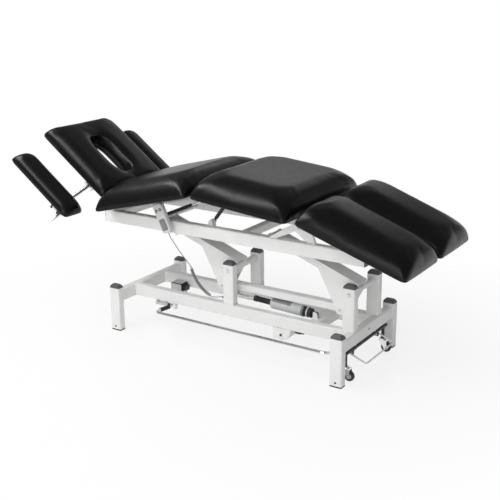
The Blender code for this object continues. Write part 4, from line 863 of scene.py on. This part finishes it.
POST_HOLE_Z, CROSS_HOLE_Z = 0.022, 0.183
BOX_X, BOX_Y, BOX_Z, BOX_FRONT, BOX_TOP = -0.421, 0.0737, 0.158, 0.0468, 0.1799
BOX_LONG, BOX_WIDE, BOX_HIGH, LID_THICK, LID_EDGE = 0.062, 0.044, 0.036, 0.0016, 0.0006
BOX_SCREWS, BOX_SCREW_Y, BOX_SCREW_Z, ANY_SPIN = (-0.444, -0.398), 0.060, 0.1807, 3.0
SWITCH_Z, SWITCH_R, SWITCH_X0, SWITCH_X1 = 0.128, 0.0105, -0.420, -0.344
BOOT_R, BOOT_X0, BOOT_X1 = 0.0085, -0.3445, -0.3285
STRAP, STRAP_XS, STRAP_Z = (0.009, 0.026, 0.0125), (-0.408, -0.356), 0.1435
STUD_X, STUD_OUT, STUD_Z, STUD_R, STUD_LONG = 0.338, 0.0236, 0.1197, 0.0062, 0.0022
CABLE_PLUGS = (((0.030, 0.022, 0.0205), 0.412, -0.104, 0.1397), ((0.016, 0.014, 0.014), 0.434, -0.104, 0.138))
BAR_X, BAR_Z, BAR_HALF_X, BAR_HALF_Z = 0.486, 0.177, 0.025, 0.026


def weld_along(name, body, loops):
    """Weld beads along closed loops of points."""
    verts, edges = [], []
    for loop in loops:
        first = len(verts)
        verts += [tuple(p) for p in loop]
        edges += [(first + k, first + (k + 1) % len(loop)) for k in range(len(loop))]
    lines = bpy.data.meshes.new(name)
    lines.from_pydata(verts, edges, [])
    made = grown(name, lines, WELD_BEAD, {"Radius": WELD_R, "Step": WELD_STEP, "Wander": WELD_WANDER,
                                          "Seed": WELD_SEED, "Finish": POWDER})
    fitted(name, made, POWDER, body)


def fit_base():
    """Plugs, switch, box lids and welds of the base."""
    across, thin = TUBE_W / 2, TUBE_T / 2
    ends = (BASE_HEAD_X, BASE_FOOT_X)
    spots = [(drawn(x, s * (BASE_HALF_Y + thin), POST_HOLE_Z), s * NORTH, UP) for x in ends for s in (-1, 1)]
    spots += [(drawn(x + s * thin, 0, CROSS_HOLE_Z), s * EAST, UP) for x, s in zip(ends, (-1, 1))]
    set_out("tube_hole_plugs", "base", plug_shape(), spots, BLACK_PLASTIC)
    lids = [block_at((BOX_LONG, LID_THICK, BOX_HIGH), BOX_X, BOX_FRONT, BOX_Z, LID_EDGE),
            block_at((BOX_LONG, BOX_WIDE, LID_THICK), BOX_X, BOX_Y, BOX_TOP, LID_EDGE)]
    fitted("box_lids", joined(lids), LIGHT_PLASTIC, "base")
    axis = drawn(0, -BEAM_Y, SWITCH_Z)
    housing = rod(axis + EAST * SWITCH_X0, axis + EAST * SWITCH_X1, SWITCH_R)
    straps = [block_at(STRAP, x, -BEAM_Y, STRAP_Z) for x in STRAP_XS]
    fitted("foot_switch", joined([housing] + straps), LIGHT_PLASTIC, "base")
    boot = rod(axis + EAST * BOOT_X0, axis + EAST * BOOT_X1, BOOT_R)
    fitted("foot_switch_boot", joined([boot]), RUBBER, "base")
    stud = drawn(STUD_X, -BEAM_Y - STUD_OUT, STUD_Z)
    plugs = [block_at(*plug) for plug in CABLE_PLUGS] + [rod(stud, stud - NORTH * STUD_LONG, STUD_R)]
    fitted("switch_plugs", joined(plugs), BLACK_PLASTIC, "base")
    screws = [(drawn(x, BOX_SCREW_Y, BOX_SCREW_Z), UP, EAST) for x in BOX_SCREWS]
    set_out("base_screws", "base", screw_shape(), screws, STEEL, ANY_SPIN)
    loops = []
    for s in (-1, 1):
        for x in (UPRIGHT_1_X, UPRIGHT_2_X):
            loops.append([drawn(x + a * across, s * BEAM_Y + b * thin, BEAM_Z + across) for a, b in SQUARE])
        post_y, bar_y = s * (BASE_HALF_Y - thin), s * (BEAM_Y - thin)
        for x in ends:
            loops.append([drawn(x + a * thin, post_y, CROSS_Z + b * across) for a, b in SQUARE])
        x = BASE_HEAD_X + thin
        loops.append([drawn(x, s * BEAM_Y + a * thin, BEAM_Z + b * across) for a, b in SQUARE])
        loops.append([drawn(BAR_X + a * BAR_HALF_X, bar_y, BAR_Z + b * BAR_HALF_Z) for a, b in SQUARE])
    weld_along("base_welds", "base", loops)


END_PLUG_T, END_PLUG_IN, END_PLUG_EDGE = 0.004, 0.001, 0.0014
SPACER_R = 0.0064
SPACERS = ((-0.203, -0.170), (-0.160, -0.065), (-0.055, 0.055), (0.065, 0.160), (0.170, 0.203))
MEMBER_XS, MEMBER_HALF_X, MEMBER_HALF_Z, MEMBER_DROP = (RAIL_X0 + 0.024, 0.150), 0.018, 0.020, 0.004
COLLAR_XS, COLLAR_Z, COLLAR_R = (-0.3848, 0.2592), 0.5711, 0.012
PANEL, PANEL_AT, PANEL_EDGE = (0.037, 0.057, 0.0007), (0, -0.033, 0.01345), 0.0003
MARK_X, MARK_Y, MARK_HALF, MARK_FOOT, MARK_TIP, MARK_ZS = 0.012, 0.040, 0.0034, 0.0022, 0.0036, (0.0160, 0.0168)


def fit_upper_frame():
    """End plugs of the rails, spacers on the leg hinge, welds, and the handset's panel and marks."""
    plug = (END_PLUG_T, TUBE_T - END_PLUG_IN, TUBE_W - END_PLUG_IN)
    plugs = [block_at(plug, x, s * RAIL_Y, RAIL_Z, END_PLUG_EDGE)
             for x in (RAIL_X0 - END_PLUG_T / 2, RAIL_X1 + END_PLUG_T / 2) for s in (-1, 1)]
    fitted("rail_end_plugs", joined(plugs), CAP_PLASTIC, "upper")
    hinge = drawn(LEG_HINGE[0], 0, LEG_HINGE[1])
    spacers = [rod(hinge + NORTH * a, hinge + NORTH * b, SPACER_R) for a, b in SPACERS]
    fitted("hinge_spacers", joined(spacers), BLACK_PLASTIC, "upper")
    loops = []
    for s in (-1, 1):
        inner = s * (RAIL_Y - TUBE_T / 2)
        for x in MEMBER_XS:
            loops.append([drawn(x + a * MEMBER_HALF_X, inner, RAIL_Z - MEMBER_DROP + b * MEMBER_HALF_Z)
                          for a, b in SQUARE])
        for x in COLLAR_XS:
            loops.append([drawn(x + COLLAR_R * a, inner, COLLAR_Z + COLLAR_R * b) for a, b in around(16)])
    weld_along("upper_welds", "upper", loops)
    hold = Matrix.Translation(drawn(0, 0, 0)) @ handset_frame()
    panel = soft_block(PANEL, hold @ Matrix.Translation(PANEL_AT), PANEL_EDGE)
    fitted("handset_panel", joined([panel]), MID_GREY, "upper")
    for key, way in (("raise", 1), ("lower", -1)):
        x, foot, tip = -way * MARK_X, MARK_Y - way * MARK_FOOT, MARK_Y + way * MARK_TIP
        flat = [(x - MARK_HALF, foot), (x + MARK_HALF, foot), (x, tip)]
        rings = [[hold @ Vector((u, v, z)) for u, v in flat] for z in MARK_ZS]
        fitted(f"{key}_mark", joined([lofted(rings)]), CASE_PLASTIC, f"{key}_key")


TIE_PIN_BACK, TIE_PIN_DROP, TIE_FACE_Y = 0.064, 0.098, -0.0991
PIN_CAP_IN, PIN_CAP_OUT, PIN_CAP_R = 0.0006, 0.0004, 0.0072
ACTUATOR_REAR, ACTUATOR_FRONT = (0.474, -0.0535, 0.221), (0.030, -0.0535, 0.240)
# Plate as (distance from the rear pin, how much thinner), its radii and its half turn and lean about the axis
PLATE_RINGS = ((0.128, 0.0006), (0.1295, 0), (0.2295, 0), (0.231, 0.0006))
PLATE_OUT, PLATE_IN, PLATE_HALF, PLATE_LEAN, PLATE_STEPS = 0.0279, 0.0262, 44, -8, 12
# Bands as (radius, start, end)
LIGHT_BAND, GREY_BAND = (0.0250, 0.0365, 0.0435), (0.0268, 0.0585, 0.0680)
BAND_SINK, BAND_EDGE = 0.002, 0.0006
RIB_START, RIB_STEP, RIBS = 0.2455, 0.0048, 15


def fit_lift():
    """Pin caps of the tie bar, and the plate, bands and ribbed tube of the actuator."""
    z = SHAFT_Z - TIE_PIN_DROP
    caps = [rod(drawn(x, TIE_FACE_Y + PIN_CAP_IN, z), drawn(x, TIE_FACE_Y - PIN_CAP_OUT, z), PIN_CAP_R, 6)
            for x in (UPRIGHT_1_X - TIE_PIN_BACK, UPRIGHT_2_X - TIE_PIN_BACK)]
    fitted("tie_pin_caps", joined(caps), STEEL, "tie")
    rear, front = drawn(*ACTUATOR_REAR), drawn(*ACTUATOR_FRONT)
    axis = (front - rear).normalized()
    top = NORTH.cross(axis)
    rings = []
    for along, thin in PLATE_RINGS:
        ring = []
        for r, way in ((PLATE_OUT - thin, 1), (PLATE_IN, -1)):
            for k in range(PLATE_STEPS + 1):
                t = math.radians(PLATE_LEAN + way * (2 * PLATE_HALF * k / PLATE_STEPS - PLATE_HALF))
                ring.append(rear + axis * along + (top * math.cos(t) + NORTH * math.sin(t)) * r)
        rings.append(ring)
    fitted("actuator_plate", joined([lofted(rings)]), MID_GREY, "actuator")
    turn = Matrix.Translation(rear) @ axis.to_track_quat("Z", "Y").to_matrix().to_4x4()
    for name, finish, slot, (r, a, b) in (("actuator_light_band", CASE_PLASTIC, "light_plastic", LIGHT_BAND),
                                          ("actuator_grey_band", MID_GREY, "cap_plastic", GREY_BAND)):
        profile = [(r - BAND_SINK, a), (r, a + BAND_EDGE), (r, b - BAND_EDGE), (r - BAND_SINK, b)]
        fitted(name, joined([turned(profile, turn)]), finish, "actuator")
    ribs = [(rear + axis * (RIB_START + RIB_STEP * k), axis, NORTH) for k in range(RIBS)]
    set_out("actuator_ribs", "actuator", rib_shape(), ribs, BLACK_PLASTIC)


SLAT_T, RING_SIDES, RING_NARROW = 0.008, 72, 0.008
# Slat screws of each section: its hinge and tilt, and the places along and across it
SLAT_SCREWS = {"middle": (APEX, MID_TILT, (0.120, 0.380), (-0.215, -0.075, 0.075, 0.215)),
               "back": (APEX, BACK_TILT, (-0.140, -0.420), (-0.215, -0.075, 0.075, 0.215)),
               "near_leg": (LEG_HINGE, LEG_TILT, (0.160, 0.340), (-0.280, -0.112, -0.042)),
               "far_leg": (LEG_HINGE, LEG_TILT, (0.160, 0.340), (0.042, 0.112, 0.280)),
               "head": (HEAD_HINGE, HEAD_TILT, (-0.090, -0.415), (-0.130, -0.050, 0.050, 0.130))}
# Ring of the face opening as (how far outside the frame's hole, height)
FACE_RING = ((0.022, -0.0102), (0.022, -0.0182), (0.004, -0.0182), (0.004, -0.0102))


def fit_sections():
    """Screws through the slats into the pads, and the ring round the face opening."""
    low = -PAD_DROP - GAP - SLAT_T
    for body, (hinge, tilt, xs, ys) in SLAT_SCREWS.items():
        place = section(hinge, tilt)
        turn = place.to_3x3()
        spots = [(place @ Vector((x, y, low)), turn @ -UP, turn @ EAST) for x in xs for y in ys]
        set_out(f"{body}_slat_screws", body, screw_shape(), spots, STEEL, ANY_SPIN)
    head = section(HEAD_HINGE, HEAD_TILT)
    turns = [2 * math.pi * (k + 0.5) / RING_SIDES for k in range(RING_SIDES)]
    rings = [[head @ Vector((*oval_point(FACE_X, HOLE_LONG + grow, HOLE_WIDE + grow - RING_NARROW, t), z))
              for t in turns] for grow, z in FACE_RING]
    fitted("face_opening_ring", mesh_from(*lofted(rings, True)), BLACK_PLASTIC, "head")


BAR_ENDS, BAR_PIVOT, BAR_FRONT = (-0.318, 0.652), (-0.124, 0.128), (-0.262, 0.140)
GRIP_START, GRIP_STEP, GRIP_RINGS, GRIP_R, GRIP_GROOVE = 0.024, 0.0022, 33, 0.0107, 0.0093


def fit_foot_bar():
    """Ribbed sleeves on both ends of the foot bar."""
    sleeves = []
    for x in BAR_ENDS:
        pivot = drawn(x, *BAR_PIVOT)
        way = (drawn(x, *BAR_FRONT) - pivot).normalized()
        path = [pivot + way * (GRIP_START + GRIP_STEP * k) for k in range(GRIP_RINGS)]
        radii = [GRIP_R if k % 3 else GRIP_GROOVE for k in range(GRIP_RINGS)]
        sleeves.append(lofted(tube_rings(path, radii, 18)))
    fitted("foot_bar_sleeves", joined(sleeves), BLACK_PLASTIC, "foot_bar")


fit_base()
fit_upper_frame()
fit_lift()
fit_sections()
fit_foot_bar()

# Finishes of the solids that show as they are

def both(*names):
    """Names of the pieces that each side has, near and far taking the star's place."""
    return [name.replace("*", side) for name in names for side in ("near", "far")]


NODE_FINISH = {
    POWDER: ["base_frame", "shaft_axle_1", "shaft_axle_2", "switch_bracket", "lift_arm_1", "lift_arm_2",
             "tie_bar", "upper_frame", "middle_frame", "back_frame", "head_frame", "castor_bail"]
    + both("*_leg_frame"),
    CAP_PLASTIC: ["raise_button", "lower_button"]
    + both("head_*_cap", "foot_*_cap", "upright_1_*_cap", "upright_2_*_cap"),
    RUBBER: both("head_*_foot", "foot_*_foot"),
    LIGHT_PLASTIC: ["actuator_shell"] + both("*_castor_hub"),
    BLACK_PLASTIC: ["actuator_tube", "control_box", "cord_gland", "castor_carrier"] + both("*_arm_clamp"),
    CHROME: ["actuator_rod", "long_strut_rod", "short_strut_rod", "foot_bar"]
    + both("*_arm_tube", "*_arm_lock", "*_castor_fork"),
    STRUT_BLACK: ["long_strut_body", "short_strut_body"],
    TYRE: both("*_castor_tyre"),
    CASE_PLASTIC: ["handset_case"],
}
for finish, names in NODE_FINISH.items():
    for name in names:
        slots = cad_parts[name].data.materials
        slots.clear()
        slots.append(finish)


def worked(tree, operation, first, second):
    """One sum of two values."""
    node = tree.nodes.new("ShaderNodeMath")
    node.operation = operation
    tree.links.new(first, node.inputs[0])
    tree.links.new(second, node.inputs[1])
    return node.outputs["Value"]


def mixed(tree, share, first, second):
    """Two shaders mixed by a share of the second."""
    node = tree.nodes.new("ShaderNodeMixShader")
    for place, value in enumerate((share, first, second)):
        tree.links.new(value, node.inputs[place])
    return node.outputs["Shader"]


def seen_straight(tree, path):
    """1 for what is seen straight, mirrored or through something, 0 for what only lights."""
    seen = worked(tree, "MAXIMUM", path.outputs["Is Camera Ray"], path.outputs["Is Glossy Ray"])
    return worked(tree, "MAXIMUM", seen, path.outputs["Is Transmission Ray"])


SKY_SOFT, SKY_WHITE, SKY_DIM, CEILING_FROM, CEILING_TO = 0.42, 1.0, 0.27, 0.02, 0.20
# Lamps as (name, place, size, power)
LAMPS = (("strip", (-1.35, -1.05, 2.55), (2.8, 0.6), 50.0), ("fill", (0.9, -3.6, 1.9), (2.6, 1.8), 41.0),
         ("rim", (-0.9, 3.0, 2.4), (2.2, 1.0), 6.0))
LAMPS_AIM = Vector((0, 0, 0.6))


def light_studio():
    """Pale backdrop under a dim ceiling, a strip light overhead, a fill and a rim light."""
    scene = bpy.context.scene
    scene.view_settings.view_transform = "Standard"
    world = bpy.data.worlds.new("studio")
    world.use_nodes = True
    tree = world.node_tree
    new, link = tree.nodes.new, tree.links.new
    skies = [tree.nodes["Background"], new("ShaderNodeBackground"), new("ShaderNodeBackground")]
    for sky, strength in zip(skies, (SKY_SOFT, SKY_WHITE, SKY_DIM)):
        sky.inputs["Color"].default_value = (1, 1, 1, 1)
        sky.inputs["Strength"].default_value = strength
    soft, white, dim = (sky.outputs["Background"] for sky in skies)
    path, rise, ceiling = new("ShaderNodeLightPath"), new("ShaderNodeSeparateXYZ"), new("ShaderNodeMapRange")
    link(new("ShaderNodeTexCoord").outputs["Generated"], rise.inputs["Vector"])
    ceiling.interpolation_type = "SMOOTHSTEP"
    ceiling.inputs["From Min"].default_value = CEILING_FROM
    ceiling.inputs["From Max"].default_value = CEILING_TO
    link(rise.outputs["Z"], ceiling.inputs["Value"])
    mirrored = worked(tree, "MULTIPLY", path.outputs["Is Glossy Ray"], ceiling.outputs["Result"])
    sky = mixed(tree, seen_straight(tree, path), soft, mixed(tree, mirrored, white, dim))
    link(sky, tree.nodes["World Output"].inputs["Surface"])
    scene.world = world
    for name, place, size, power in LAMPS:
        lamp = bpy.data.lights.new(name, "AREA")
        lamp.shape, lamp.size, lamp.size_y, lamp.energy = "RECTANGLE", size[0], size[1], power
        obj = placed(name, lamp)
        obj.location = place
        obj.rotation_euler = (LAMPS_AIM - Vector(place)).to_track_quat("-Z", "Y").to_euler()


FLOOR_HALF, FLOOR_SHADOW, FADE_FROM, FADE_TO = 60.0, 0.80, 0.7, 1.9


def lay_floor():
    """White floor that keeps the table's shadow and fades to plain white away from it."""
    f = Finish("studio_floor", rough=0.8, specular=0.1)
    f.colour(f.span(f.noise(3.0), 0.0, 1.0), (0.90, 0.90, 0.90), (0.92, 0.92, 0.92))
    corners = [(a * FLOOR_HALF, b * FLOOR_HALF, 0) for a, b in SQUARE]
    floor = piece("floor", mesh_from(corners, [(0, 1, 2, 3)], False), f.mat)
    tree = f.mat.node_tree
    glow, away = tree.nodes.new("ShaderNodeEmission"), tree.nodes.new("ShaderNodeVectorMath")
    glow.inputs["Strength"].default_value = 1.0
    away.operation = "LENGTH"
    tree.links.new(f.where, away.inputs[0])
    fade = f.span(away.outputs["Value"], FLOOR_SHADOW, 1.0, FADE_FROM, FADE_TO)
    share = worked(tree, "MULTIPLY", seen_straight(tree, tree.nodes.new("ShaderNodeLightPath")), fade)
    shown = mixed(tree, share, f.shader.outputs["BSDF"], glow.outputs["Emission"])
    tree.links.new(shown, tree.nodes["Material Output"].inputs["Surface"])


light_studio()
lay_floor()
